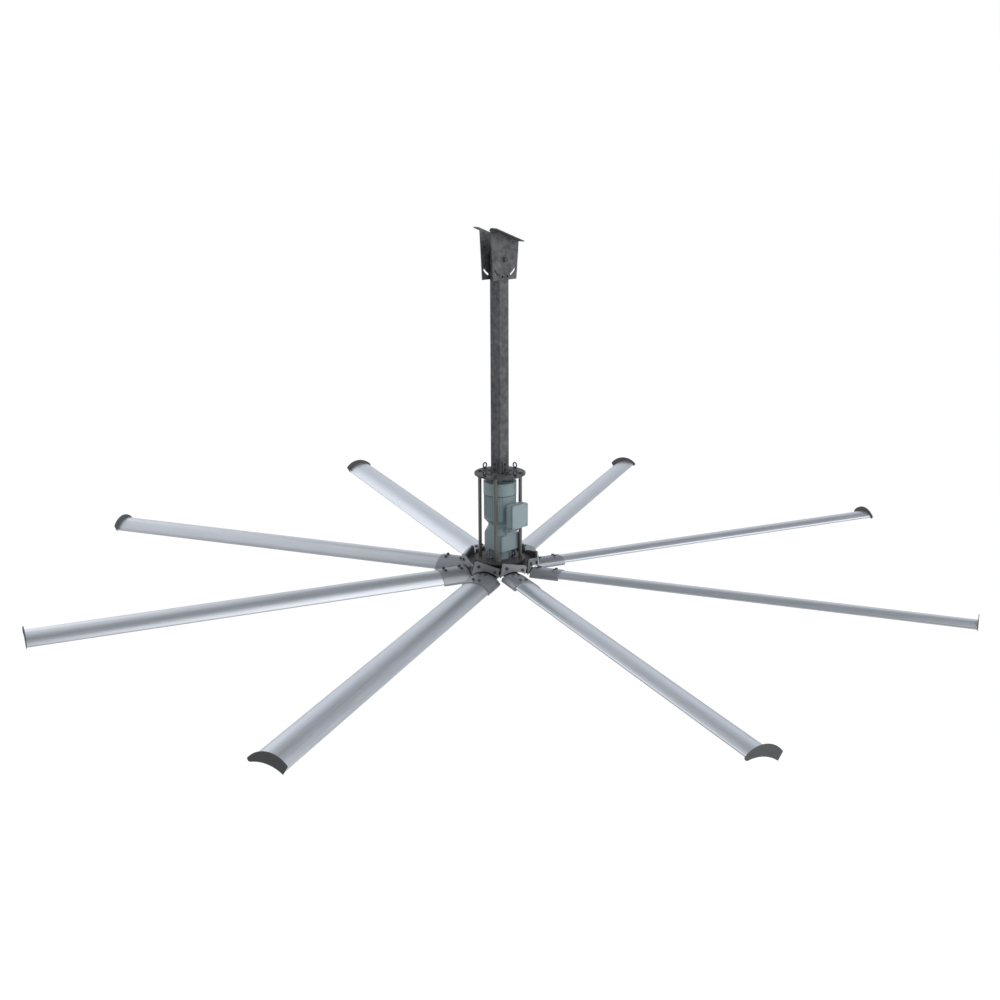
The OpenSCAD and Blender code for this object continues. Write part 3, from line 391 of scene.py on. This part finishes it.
BLACK_STEEL = Finish(
    "black_steel",
    light=(0.05, 0.05, 0.055),
    dark=(0.02, 0.02, 0.022),
    scale=150.0,
    rough=(0.4, 0.6),
    metallic=0.5,
)
BLADE_ALLOY = Finish(
    "blade_alloy",
    light=(0.65, 0.675, 0.73),
    dark=(0.585, 0.61, 0.66),
    scale=90.0,
    rough=(0.30, 0.40),
    metallic=0.85,
    grain=0.008,
    dust=0.05,
    pattern=Pattern.BRUSHED,
)
# Painted shade: the holders are the blades' alloy, darkened to stand for the shade that the hub
# casts on them.
SHADED_HOLDER_ALLOY = Finish(
    "holder_alloy_painted_shade",
    light=(0.37, 0.385, 0.415),
    dark=(0.30, 0.315, 0.34),
    scale=90.0,
    rough=(0.34, 0.46),
    metallic=0.75,
    grain=0.012,
    dust=0.05,
    pattern=Pattern.BRUSHED,
)
CAP_GREY = Finish(
    "cap_grey",
    light=(0.32, 0.322, 0.33),
    dark=(0.26, 0.262, 0.27),
    scale=200.0,
    rough=(0.5, 0.65),
    grain=0.3,
)
CAST_IRON = Finish(
    "cast_iron",
    light=(0.13, 0.13, 0.13),
    dark=(0.06, 0.06, 0.06),
    scale=220.0,
    rough=(0.55, 0.75),
    metallic=0.3,
    grain=0.6,
)
MOTOR_PAINT = Finish(
    "motor_paint",
    light=(0.37, 0.495, 0.525),
    dark=(0.31, 0.42, 0.45),
    scale=26.0,
    rough=(0.3, 0.45),
    grain=0.12,
    coat=0.3,
)
LID_PAINT = Finish(
    "lid_paint",
    light=(0.40, 0.53, 0.56),
    dark=(0.35, 0.47, 0.50),
    scale=26.0,
    rough=(0.3, 0.42),
    grain=0.08,
    coat=0.3,
)
GEAR_STEEL = Finish(
    "gear_steel",
    light=(0.55, 0.55, 0.56),
    dark=(0.42, 0.42, 0.43),
    scale=150.0,
    rough=(0.2, 0.35),
    metallic=1.0,
)
BEARING_STEEL = Finish(
    "bearing_steel",
    light=(0.70, 0.70, 0.71),
    dark=(0.60, 0.60, 0.62),
    scale=200.0,
    rough=(0.1, 0.2),
    metallic=1.0,
)
CORE_STEEL = Finish(
    "core_steel",
    light=(0.40, 0.40, 0.41),
    dark=(0.28, 0.28, 0.29),
    scale=400.0,
    rough=(0.35, 0.5),
    metallic=0.9,
)
COPPER = Finish(
    "copper_ends",
    light=(0.45, 0.22, 0.11),
    dark=(0.28, 0.14, 0.08),
    scale=300.0,
    rough=(0.3, 0.45),
    metallic=0.6,
)
BLACK_PLASTIC = Finish(
    "black_plastic",
    light=(0.030, 0.030, 0.032),
    dark=(0.018, 0.018, 0.019),
    scale=300.0,
    rough=(0.45, 0.6),
)
SEAL_RUBBER = Finish(
    "seal_rubber",
    light=(0.03, 0.03, 0.03),
    dark=(0.018, 0.018, 0.018),
    scale=260.0,
    rough=(0.6, 0.8),
)

NODES_BY_FINISH: tuple[tuple[Finish, tuple[str, ...]], ...] = (
    (GALVANISED, ("face_plates",)),
    (DARK_GALVANISED, ("hanger_plate_front", "hanger_plate_rear", "drop_tube", "tube_cleats")),
    (DARK_GALVANISED, ("cage_top_plate",)),
    # Hub pan and cage base plate take the plate finish that is darkened as painted shade.
    (SHADE_DARK_PLATE, ("hub_pan", "cage_base_plate")),
    (ROD_STEEL, ("cage_rods",)),
    (ZINC, ("mounting_brackets", "pivot_bush", "lid_screws")),
    (BLACK_STEEL, ("pivot_bolt", "pivot_nut", "eye_bolts", "rod_nuts", "cleat_bolts")),
    (BLACK_STEEL, ("face_bolts", "holder_bolts", "bracket_bolts", "shaft_end_bolt")),
    (CAP_GREY, ("end_caps",)),
    (CAST_IRON, ("hub_spider",)),
    (MOTOR_PAINT, ("motor_housing", "motor_flange", "end_shield", "fan_cowl")),
    (MOTOR_PAINT, ("terminal_box", "gearbox_housing", "gearbox_cover")),
    (LID_PAINT, ("terminal_lid",)),
    (GEAR_STEEL, ("output_shaft", "output_wheel", "layshaft", "layshaft_wheel", "rotor_shaft")),
    (BEARING_STEEL, ("motor_bearings", "layshaft_bearings", "output_bearings")),
    (CORE_STEEL, ("rotor_core",)),
    (COPPER, ("stator",)),
    (BLACK_PLASTIC, ("cooling_fan", "cable_gland")),
    (SEAL_RUBBER, ("output_seal",)),
    (SHADED_HOLDER_ALLOY, tuple(f"blade_holder_{i}" for i in range(1, BLADE_COUNT + 1))),
    (BLADE_ALLOY, tuple(f"blade_{i}" for i in range(1, BLADE_COUNT + 1))),
)
NODE_FINISH = {node: finish for finish, nodes in NODES_BY_FINISH for node in nodes}


class Bench:
    """Modelling helpers that work on one object at a time.

    WELD is the distance within which a copied CAD mesh's points are merged, and FLAT the
    angle in degrees under which its triangles count as one flat face.
    """

    WELD = 0.02 * MM
    FLAT = 0.4

    @staticmethod
    def clear() -> None:
        """Leave edit mode and deselect everything."""
        if bpy.context.object and bpy.context.object.mode != "OBJECT":
            bpy.ops.object.mode_set(mode="OBJECT")
        for thing in bpy.context.selected_objects:
            thing.select_set(False)

    @staticmethod
    def take(piece: bpy.types.Object) -> None:
        """Select one object and make it active.

        Args:
            piece: The object.
        """
        Bench.clear()
        piece.select_set(True)
        bpy.context.view_layer.objects.active = piece

    @staticmethod
    def edit(piece: bpy.types.Object) -> None:
        """Enter a piece's edit mode with all of it selected.

        Args:
            piece: The piece.
        """
        Bench.take(piece)
        bpy.ops.object.mode_set(mode="EDIT")
        bpy.ops.mesh.select_all(action="SELECT")

    @staticmethod
    def turn_out() -> None:
        """Point the faces of the piece that is edited outwards, and leave edit mode."""
        bpy.ops.mesh.select_all(action="SELECT")
        bpy.ops.mesh.normals_make_consistent(inside=False)
        bpy.ops.object.mode_set(mode="OBJECT")

    @staticmethod
    def apply(piece: bpy.types.Object, kind: str, **values: object) -> None:
        """Add a modifier and apply it.

        Args:
            piece: The piece.
            kind: The modifier's type.
            values: The modifier's settings.
        """
        Bench.take(piece)
        modifier = piece.modifiers.new(kind.lower(), kind)
        for name, value in values.items():
            setattr(modifier, name, value)
        bpy.ops.object.modifier_apply(modifier=modifier.name)

    @staticmethod
    def bevel(
        piece: bpy.types.Object, width: float, limit: float = 40.0, segments: int = 2
    ) -> None:
        """Round the edges of a piece that turn by more than an angle.

        Args:
            piece: The piece.
            width: Width of the round.
            limit: The angle, in degrees.
            segments: Number of faces across the round.
        """
        Bench.apply(
            piece,
            "BEVEL",
            width=width,
            segments=segments,
            limit_method="ANGLE",
            angle_limit=math.radians(limit),
        )

    @staticmethod
    def smooth(piece: bpy.types.Object, angle: float = 32.0) -> None:
        """Shade a piece smooth where its faces turn by less than an angle in degrees."""
        Bench.take(piece)
        bpy.ops.object.shade_smooth_by_angle(angle=math.radians(angle))

    @staticmethod
    def even(piece: bpy.types.Object) -> None:
        """Let a piece's large faces lead its shading, and keep its sharp edges."""
        Bench.apply(piece, "WEIGHTED_NORMAL", keep_sharp=True)

    @staticmethod
    def copy_of(node: str, name: str) -> bpy.types.Object:
        """Copy a CAD node's mesh, merge its loose triangles and join those that are flat.

        Args:
            node: The CAD node.
            name: Name of the new piece.

        Returns:
            The copy.
        """
        mesh = FRAME["nodes"][node].data.copy()
        mesh.materials.clear()
        piece = bpy.data.objects.new(name, mesh)
        bpy.context.scene.collection.objects.link(piece)
        Bench.edit(piece)
        bpy.ops.mesh.remove_doubles(threshold=Bench.WELD)
        bpy.ops.mesh.dissolve_limited(angle_limit=math.radians(Bench.FLAT))
        bpy.ops.object.mode_set(mode="OBJECT")
        return piece

    @staticmethod
    def settle(piece: bpy.types.Object) -> None:
        """Put an object's place, turn and size into its mesh."""
        Bench.take(piece)
        bpy.ops.object.transform_apply(location=True, rotation=True, scale=True)

    @staticmethod
    def twin(piece: bpy.types.Object, name: str) -> bpy.types.Object:
        """Copy a piece together with its mesh.

        Args:
            piece: The piece to copy.
            name: Name of the copy.

        Returns:
            The copy.
        """
        other = piece.copy()
        other.data = piece.data.copy()
        other.name = name
        bpy.context.scene.collection.objects.link(other)
        return other

    @staticmethod
    def hand_over(
        piece: bpy.types.Object, body: str, slot: str, made: bpy.types.Material, *nodes: str
    ) -> None:
        """Give a finished piece its material and its place in the model.

        Args:
            piece: The piece.
            body: The CAD body that it rides on.
            slot: The record's slot that it takes its finish from. Not used.
            made: Its material.
            nodes: The CAD nodes that it stands for.
        """
        piece.data.materials.clear()
        piece.data.materials.append(made)
        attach(piece, body)
        if nodes:
            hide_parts(*nodes)
        LOG.info("%s: %d faces on %s", piece.name, len(piece.data.polygons), body)


@dataclass(frozen=True)
class Arc:
    """One arc of the blade's section.

    Attributes hold its centre as (backwards, up), the angle that the section turns
    through about it, in degrees, and the number of steps.
    """

    centre: Pair
    turn: float
    steps: int


@dataclass
class Blades:
    """The eight extruded blades, drawn once round their section and copied.

    A blade's own frame has x outwards, y backwards to the tail and z square to the
    chord. Attributes hold the radius of its root and its tip, its pitch in degrees, the
    section's point at the tail as (backwards, up), the arcs that run from there over
    the top, round the nose and back along the hollow, the distance within which the
    section's ends are joined, and the angle in degrees under which a holder's faces
    are shaded as one.
    """

    root: float = 306.0 * MM
    tip: float = 2746.0 * MM
    pitch: float = 12.5
    tail: Pair = (0.0860, -0.0145)
    arcs: tuple[Arc, ...] = (
        Arc((0.0035214, -0.1045987), -83.8, 44),
        Arc((-0.0720, -0.0190), -167.0, 16),
        Arc((0.0096520, -0.1574127), 59.456, 30),
    )
    join: float = 0.01 * MM
    holder_angle: float = 14.0

    def profile(self) -> bpy.types.Object:
        """Draw the closed section of a blade at its root.

        A tiny plane is merged to the point at the tail, and the arcs are spun from it.

        Returns:
            A flat piece: one face round which the three arcs and the tail edge run.
        """
        Bench.clear()
        bpy.ops.mesh.primitive_plane_add(size=MM, location=(self.root, *self.tail))
        piece = bpy.context.object
        Bench.edit(piece)
        bpy.ops.mesh.merge(type="CENTER")
        for arc in self.arcs:
            bpy.ops.mesh.spin(
                steps=arc.steps,
                angle=math.radians(arc.turn),
                center=(self.root, *arc.centre),
                axis=(1.0, 0.0, 0.0),
            )
        bpy.ops.mesh.select_all(action="SELECT")
        bpy.ops.mesh.remove_doubles(threshold=self.join)
        bpy.ops.mesh.edge_face_add()
        bpy.ops.object.mode_set(mode="OBJECT")
        return piece

    def draw(self) -> bpy.types.Object:
        """Draw one blade along the x axis.

        Returns:
            The blade in its own frame.
        """
        piece = self.profile()
        Bench.edit(piece)
        span = (self.tip - self.root, 0.0, 0.0)
        bpy.ops.mesh.extrude_region_move(TRANSFORM_OT_translate={"value": span})
        Bench.turn_out()
        Bench.smooth(piece)
        Bench.settle(piece)
        return piece

    def build(self) -> None:
        """Copy the blade to its eight places and smooth the eight holders."""
        pattern = self.draw()
        for i in range(1, BLADE_COUNT + 1):
            turn = REST_TURN + (i - 1) * BLADE_STEP
            blade = Bench.twin(pattern, f"blade_skin_{i}")
            blade.rotation_euler = (math.radians(-self.pitch), 0.0, math.radians(turn))
            blade.location = (0.0, 0.0, -DROP)
            Bench.settle(blade)
            made = BLADE_ALLOY.material(turn)
            Bench.hand_over(blade, "fan_rotor", "blade_aluminium", made, f"blade_{i}")
            holder = Bench.copy_of(f"blade_holder_{i}", f"holder_skin_{i}")
            Bench.smooth(holder, self.holder_angle)
            Bench.even(holder)
            # The holders' material is the blade alloy darkened as painted shade.
            made = SHADED_HOLDER_ALLOY.material(turn)
            Bench.hand_over(holder, "fan_rotor", "holder_aluminium", made, f"blade_holder_{i}")
        bpy.data.objects.remove(pattern)


@dataclass
class Rings:
    """Plain washers or seals of one size, drawn once and copied.

    Attributes hold their name, the body that they ride on, the inner and outer radius,
    the thickness, and for each ring its centre on the seat and the direction in which
    it stands off the seat. Then come the finish, the record's slot, the number of
    corners, and the share of the thickness that the rounded edges take.
    """

    name: str
    body: str
    inner: float
    outer: float
    thick: float
    places: list[tuple[Vector, Vector]]
    finish: Finish = DARK_ZINC
    slot: str = "zinc_steel"
    corners: int = 36
    rounded: float = 0.25

    def draw(self) -> bpy.types.Object:
        """Draw one ring that lies on the ground at the origin.

        Returns:
            The ring.
        """
        Bench.clear()
        bpy.ops.mesh.primitive_circle_add(vertices=self.corners, radius=self.outer)
        piece = bpy.context.object
        Bench.edit(piece)
        bpy.ops.mesh.extrude_edges_move()
        share = self.inner / self.outer
        bpy.ops.transform.resize(value=(share, share, 1.0))
        bpy.ops.mesh.select_all(action="SELECT")
        rise = (0.0, 0.0, self.thick)
        bpy.ops.mesh.extrude_region_move(TRANSFORM_OT_translate={"value": rise})
        Bench.turn_out()
        Bench.bevel(piece, self.rounded * self.thick)
        Bench.smooth(piece)
        return piece

    def build(self) -> None:
        """Copy the ring to each of its places."""
        pattern = self.draw()
        for count, (seat, out) in enumerate(self.places, 1):
            ring = Bench.twin(pattern, f"{self.name}_{count}")
            ring.rotation_mode = "QUATERNION"
            ring.rotation_quaternion = out.to_track_quat("Z", "Y")
            ring.location = seat
            Bench.settle(ring)
            Bench.hand_over(ring, self.body, self.slot, self.finish.material())
        bpy.data.objects.remove(pattern)


@dataclass
class Gasket:
    """The dark rubber frame between the terminal box and its lid.

    Attributes hold its width and height, how far its rear and its front face lie from
    the fan's axis, the height of its middle, the round of its corners with the angle in
    degrees that marks them, the number of steps round a corner, and its wall.
    """

    width: float = 128.4 * MM
    height: float = 144.4 * MM
    rear: float = 157.5 * MM
    front: float = 160.0 * MM
    middle: float = -1.639
    corner: float = 6.0 * MM
    corner_angle: float = 60.0
    corner_steps: int = 4
    wall: float = 3.0 * MM

    def build(self) -> None:
        """Draw the frame from a cube without front and rear, and give it a wall."""
        Bench.clear()
        centre = (0.0, -(self.rear + self.front) / 2, self.middle)
        bpy.ops.mesh.primitive_cube_add(size=1.0, location=centre)
        piece = bpy.context.object
        piece.name = "terminal_gasket"
        piece.scale = (self.width, self.front - self.rear, self.height)
        Bench.settle(piece)
        self.open_ends(piece)
        Bench.bevel(piece, self.corner, self.corner_angle, self.corner_steps)
        Bench.apply(piece, "SOLIDIFY", thickness=self.wall, offset=-1.0)
        Bench.smooth(piece)
        Bench.hand_over(piece, "mast", "seal_rubber", SEAL_RUBBER.material())

    @staticmethod
    def open_ends(piece: bpy.types.Object) -> None:
        """Take away the faces that look to the front and to the rear.

        Args:
            piece: The closed block.
        """
        bpy.ops.object.mode_set(mode="EDIT")
        bpy.ops.mesh.select_mode(type="FACE")
        bpy.ops.mesh.select_all(action="DESELECT")
        bpy.ops.object.mode_set(mode="OBJECT")
        for face in piece.data.polygons:
            face.select = abs(face.normal.y) > abs(face.normal.x) + abs(face.normal.z)
        bpy.ops.object.mode_set(mode="EDIT")
        bpy.ops.mesh.delete(type="FACE")
        bpy.ops.mesh.select_mode(type="VERT")
        bpy.ops.object.mode_set(mode="OBJECT")


@dataclass
class Softened:
    """CAD pieces of one sub-assembly whose edges get a small round.

    Attributes hold the body that they ride on, the record's slot, the CAD nodes, and
    the width of the round.
    """

    body: str
    slot: str
    nodes: tuple[str, ...]
    edge: float

    def build(self) -> None:
        """Copy each node, round its edges and put the copy in its place."""
        for node in self.nodes:
            piece = Bench.copy_of(node, f"{node}_soft")
            Bench.bevel(piece, self.edge)
            Bench.smooth(piece)
            Bench.even(piece)
            Bench.hand_over(piece, self.body, self.slot, NODE_FINISH[node].material(), node)


@dataclass
class Fixings:
    """The washers of the mast and the hanger, and a black ring under the fan cowl that paints the
    shadow of its skirt.

    Attributes:
        top_face: Height of the cage top plate's upper face over the blades' plane.
        top_plate: Thickness of that plate.
        base_face: Height of the cage base plate's lower face over the blades' plane.
        cleat: Thickness of the cleats.
        cleat_foot: Distance of the cleats' foot bolts from the axis.
        cleat_face: Distance of the cleats' upright faces from the axis.
        cleat_bolts: Heights of their other bolts over the top plate.
        eye_circle: Radius of the circle of the eye bolts.
        rod_circle: Radius of the circle of the rods.
        rod_turn: Angle of the first rod, in degrees from +x.
        hanger_face: Distance of the hanger plates' outer faces from the axis.
        pivot_drop: Depth of the pivot below the origin.
    """

    top_face: float = 592.0 * MM
    top_plate: float = 10.0 * MM
    base_face: float = 50.0 * MM
    cleat: float = 6.0 * MM
    cleat_foot: float = 68.0 * MM
    cleat_face: float = 46.0 * MM
    cleat_bolts: Pair = (26.0 * MM, 55.0 * MM)
    eye_circle: float = 128.0 * MM
    rod_circle: float = 124.0 * MM
    rod_turn: float = 32.6
    hanger_face: float = 46.3 * MM
    pivot_drop: float = 140.0 * MM

    @property
    def top(self) -> float:
        """Height of the top plate's top face from the origin."""
        return -DROP + self.top_face

    @staticmethod
    def quarters(start: float = 0.0) -> list[Vector]:
        """Give the four level directions a quarter turn apart, from an angle in degrees."""
        angles = [math.radians(start + 90.0 * k) for k in range(4)]
        return [Vector((math.cos(angle), math.sin(angle), 0.0)) for angle in angles]

    def cleats(self) -> list[tuple[Vector, Vector]]:
        """List the seats of the cleats' washers.

        Returns:
            For each washer its centre on the seat and the direction off the seat.
        """
        seats = []
        for out in self.quarters():
            foot = out * self.cleat_foot
            seats.append((foot + UP * (self.top + self.cleat), UP))
            seats.append((foot + UP * (self.top - self.top_plate), -UP))
            for height in self.cleat_bolts:
                seats.append((out * self.cleat_face + UP * (self.top + height), out))
        return seats

    def eyes(self) -> list[tuple[Vector, Vector]]:
        """List the seats of the washers under the eye bolts' nuts.

        Returns:
            For each washer its centre on the seat and the direction off the seat.
        """
        under = UP * (self.top - self.top_plate)
        return [(out * self.eye_circle + under, -UP) for out in self.quarters()]

    def rods(self) -> list[tuple[Vector, Vector]]:
        """List the seats of the washers at both ends of the rods.

        Returns:
            For each washer its centre on the seat and the direction off the seat.
        """
        seats = []
        for out in self.quarters(self.rod_turn):
            foot = out * self.rod_circle
            seats.append((foot + UP * self.top, UP))
            seats.append((foot + UP * (-DROP + self.base_face), -UP))
        return seats

    def pivot(self) -> list[tuple[Vector, Vector]]:
        """List the seats of the washers under the pivot's head and nut.

        Returns:
            For each washer its centre on the seat and the direction off the seat.
        """
        sides = [Vector((0.0, side, 0.0)) for side in (-1.0, 1.0)]
        return [(side * self.hanger_face - UP * self.pivot_drop, side) for side in sides]

    def build(self) -> None:
        """Draw every washer, and the black ring round the foot of the fan cowl, a painted shadow
        under its skirt.
        """
        small = {"inner": 5.1 * MM, "outer": 10.8 * MM, "thick": 1.6 * MM}
        middle = {"inner": 6.1 * MM, "outer": 13.2 * MM, "thick": 2.0 * MM}
        large = {"inner": 8.1 * MM, "outer": 17.5 * MM, "thick": 2.0 * MM}
        Rings("cleat_washer", "mast", places=self.cleats(), **small).build()
        Rings("eye_washer", "mast", places=self.eyes(), **small).build()
        Rings("rod_washer", "mast", places=self.rods(), **middle).build()
        Rings("pivot_washer", "hanger", places=self.pivot(), **large).build()
        # Painted shadow: a thin black ring under the cowl's skirt stands for the shade where the
        # cowl laps over the housing.
        low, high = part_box("fan_cowl")
        skirt = (high[0] - low[0]) / 2
        Rings(
            "cowl_shadow_ring",
            "mast",
            inner=skirt - 6.0 * MM,
            outer=skirt,
            thick=3.0 * MM,
            places=[(UP * low[2], -UP)],
            finish=SEAL_RUBBER,
            slot="seal_rubber",
            corners=96,
        ).build()


@dataclass(frozen=True)
class Camera:
    """The camera, at the place that the photograph was taken from.

    Attributes hold its distance from the fan's axis and its height, the angles in
    degrees by which it looks down and is rolled, and its focal length and sensor width
    in millimetres.
    """

    reach: float = 7.6008
    height: float = 0.5694
    pitch: float = 15.73
    roll: float = -0.2
    lens: float = 47.35
    sensor: float = 36.0

    def build(self) -> None:
        """Stand the camera to the left of the fan's front, looking at its axis."""
        data = bpy.data.cameras.new("camera")
        data.lens = self.lens
        data.sensor_width = self.sensor
        thing = bpy.data.objects.new("camera", data)
        bpy.context.scene.collection.objects.link(thing)
        side = math.sqrt(0.5)
        thing.location = (-self.reach * side, -self.reach * side, self.height)
        tilt = math.radians(self.pitch)
        gaze = Vector((side * math.cos(tilt), side * math.cos(tilt), -math.sin(tilt)))
        thing.rotation_mode = "QUATERNION"
        thing.rotation_quaternion = gaze.to_track_quat("-Z", "Y") @ Quaternion(
            UP, math.radians(self.roll)
        )
        bpy.context.scene.camera = thing


@dataclass(frozen=True)
class Backdrop:
    """The world: light from all round the object, and plain white for the camera.

    Attributes hold the stops of the light's brightness as (place, value), the direction
    along which they lie, as a weight for each axis, and the light's tint.
    """

    stops: tuple[Pair, ...] = ((0.0, 0.95), (0.13, 0.95), (0.34, 0.28), (0.85, 0.27))
    along: Triple = (-0.104, -0.388, 1.0)
    tint: Triple = (0.92, 0.96, 1.0)

    def build(self) -> None:
        """Light the object brightly from low and behind, and less from above and in front.

        The camera, and what is seen through clear material, gets plain white.
        """
        world = bpy.data.worlds.new("studio")
        bpy.context.scene.world = world
        world.use_nodes = True
        tree = world.node_tree
        tree.nodes.clear()
        rays = tree.nodes.new("ShaderNodeLightPath")
        seen = tree.nodes.new("ShaderNodeMath")
        seen.operation = "MAXIMUM"
        tree.links.new(rays.outputs["Is Camera Ray"], seen.inputs[0])
        tree.links.new(rays.outputs["Is Transmission Ray"], seen.inputs[1])
        light = tree.nodes.new("ShaderNodeBackground")
        tree.links.new(self.sky(tree), light.inputs["Color"])
        shown = tree.nodes.new("ShaderNodeBackground")
        shown.inputs["Color"].default_value = (1.0, 1.0, 1.0, 1.0)
        shown.inputs["Strength"].default_value = 1.0
        mix = tree.nodes.new("ShaderNodeMixShader")
        out = tree.nodes.new("ShaderNodeOutputWorld")
        tree.links.new(seen.outputs["Value"], mix.inputs["Fac"])
        tree.links.new(light.outputs["Background"], mix.inputs[1])
        tree.links.new(shown.outputs["Background"], mix.inputs[2])
        tree.links.new(mix.outputs["Shader"], out.inputs["Surface"])

    def sky(self, tree: bpy.types.NodeTree) -> bpy.types.NodeSocket:
        """Add the ramp of brightness.

        Args:
            tree: The world's nodes.

        Returns:
            The socket that gives its colour.
        """
        place = tree.nodes.new("ShaderNodeTexCoord")
        split = tree.nodes.new("ShaderNodeVectorMath")
        split.operation = "DOT_PRODUCT"
        tree.links.new(place.outputs["Generated"], split.inputs[0])
        split.inputs[1].default_value = self.along
        sky = tree.nodes.new("ShaderNodeValToRGB")
        ramp = sky.color_ramp
        ramp.interpolation = "EASE"
        ready = len(ramp.elements)
        for step, (where, value) in enumerate(self.stops):
            stop = ramp.elements[step] if step < ready else ramp.elements.new(where)
            stop.position = where
            stop.color = (*(part * value for part in self.tint), 1.0)
        tree.links.new(split.outputs["Value"], sky.inputs["Fac"])
        return sky.outputs["Color"]


@dataclass(frozen=True)
class Floor:
    """A plain pale floor well below the fan.

    Attributes hold its height, the side of its square, its grey and its roughness, and
    the share and strength of plain white in what the camera sees of it.
    """

    height: float = -4.6
    side: float = 240.0
    grey: float = 0.86
    rough: float = 0.8
    white_share: float = 0.9
    white_strength: float = 1.08

    def build(self) -> None:
        """Lay the floor."""
        Bench.clear()
        bpy.ops.mesh.primitive_plane_add(size=self.side, location=(0.0, 0.0, self.height))
        floor = bpy.context.object
        floor.name = "floor"
        floor.data.materials.append(self.material())
        floor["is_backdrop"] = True

    def material(self) -> bpy.types.Material:
        """Make a material that the camera sees as white, and from below as clear.

        Returns:
            The material.
        """
        made = bpy.data.materials.new("floor")
        made.use_nodes = True
        tree = made.node_tree
        shader = tree.nodes["Principled BSDF"]
        shader.inputs["Base Color"].default_value = (self.grey, self.grey, self.grey, 1.0)
        shader.inputs["Roughness"].default_value = self.rough
        rays = tree.nodes.new("ShaderNodeLightPath")
        share = tree.nodes.new("ShaderNodeMath")
        share.operation = "MULTIPLY"
        share.inputs[1].default_value = self.white_share
        tree.links.new(rays.outputs["Is Camera Ray"], share.inputs[0])
        white = tree.nodes.new("ShaderNodeEmission")
        white.inputs["Strength"].default_value = self.white_strength
        top = tree.nodes.new("ShaderNodeMixShader")
        tree.links.new(share.outputs["Value"], top.inputs["Fac"])
        tree.links.new(shader.outputs["BSDF"], top.inputs[1])
        tree.links.new(white.outputs["Emission"], top.inputs[2])
        side = tree.nodes.new("ShaderNodeNewGeometry")
        clear = tree.nodes.new("ShaderNodeBsdfTransparent")
        both = tree.nodes.new("ShaderNodeMixShader")
        tree.links.new(side.outputs["Backfacing"], both.inputs["Fac"])
        tree.links.new(top.outputs["Shader"], both.inputs[1])
        tree.links.new(clear.outputs["BSDF"], both.inputs[2])
        tree.links.new(both.outputs["Shader"], tree.nodes["Material Output"].inputs["Surface"])
        return made


@dataclass(frozen=True)
class Lamp:
    """One soft square lamp.

    Attributes hold its name, its place, the point that it looks at, the side of its
    square and its power in watts.
    """

    name: str
    place: Triple
    aim: Triple
    size: float
    power: float

    def build(self) -> None:
        """Hang the lamp."""
        data = bpy.data.lights.new(self.name, "AREA")
        data.size = self.size
        data.energy = self.power
        thing = bpy.data.objects.new(self.name, data)
        bpy.context.scene.collection.objects.link(thing)
        thing.location = self.place
        thing.rotation_mode = "QUATERNION"
        gaze = Vector(self.aim) - Vector(self.place)
        thing.rotation_quaternion = gaze.to_track_quat("-Z", "Y")


LAMPS = (
    Lamp("key", place=(2.5, -7.5, 4.0), aim=(0.0, 0.0, -1.6), size=14.0, power=900.0),
    Lamp("back_left", place=(-2.1, 6.4, 3.0), aim=(0.0, 0.0, -2.0), size=10.0, power=190.0),
)
SOFTENED = (
    Softened(
        "mast",
        "motor_paint",
        ("terminal_box", "gearbox_housing", "gearbox_cover", "fan_cowl"),
        edge=1.6 * MM,
    ),
    Softened("mast", "lid_paint", ("terminal_lid",), edge=2.0 * MM),
    Softened(
        "mast",
        "galvanised",
        # cage_base_plate's copy takes the plate finish that is darkened as painted shade, through
        # NODE_FINISH.
        ("cage_top_plate", "cage_base_plate", "mounting_brackets", "tube_cleats"),
        edge=0.8 * MM,
    ),
    Softened("mast", "galvanised", ("drop_tube",), edge=1.5 * MM),
    Softened("mast", "zinc_steel", ("cleat_bolts", "rod_nuts", "lid_screws"), edge=0.8 * MM),
    Softened("hanger", "galvanised", ("hanger_plate_front", "hanger_plate_rear"), edge=0.8 * MM),
    Softened("hanger", "zinc_steel", ("pivot_bolt", "pivot_nut"), edge=1.2 * MM),
    Softened("fan_rotor", "galvanised", ("face_plates",), edge=0.8 * MM),
    Softened("fan_rotor", "black_steel", ("holder_bolts", "face_bolts"), edge=0.8 * MM),
    Softened("fan_rotor", "cap_grey", ("end_caps",), edge=0.8 * MM),
)


def dress_nodes() -> None:
    """Give every CAD node its finish."""
    for name, thing in FRAME["nodes"].items():
        finish = NODE_FINISH[name]
        thing.data.materials.clear()
        thing.data.materials.append(finish.material())
        LOG.info("%s: %s", name, finish.name)


def corners() -> list[list[float]]:
    """Give the shown object's lowest and highest corners as plain lists."""
    return [list(corner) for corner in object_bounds()]


def main() -> None:
    """Load the frame and build the fan round it."""
    logging.basicConfig(level=logging.INFO, format="%(message)s")
    FRAME.update(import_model())
    dress_nodes()
    Blades().build()
    for group in SOFTENED:
        group.build()
    Gasket().build()
    Fixings().build()
    bpy.context.scene.view_settings.view_transform = "Standard"
    Camera().build()
    Backdrop().build()
    Floor().build()
    for lamp in LAMPS:
        lamp.build()


if __name__ == "__main__":
    main()
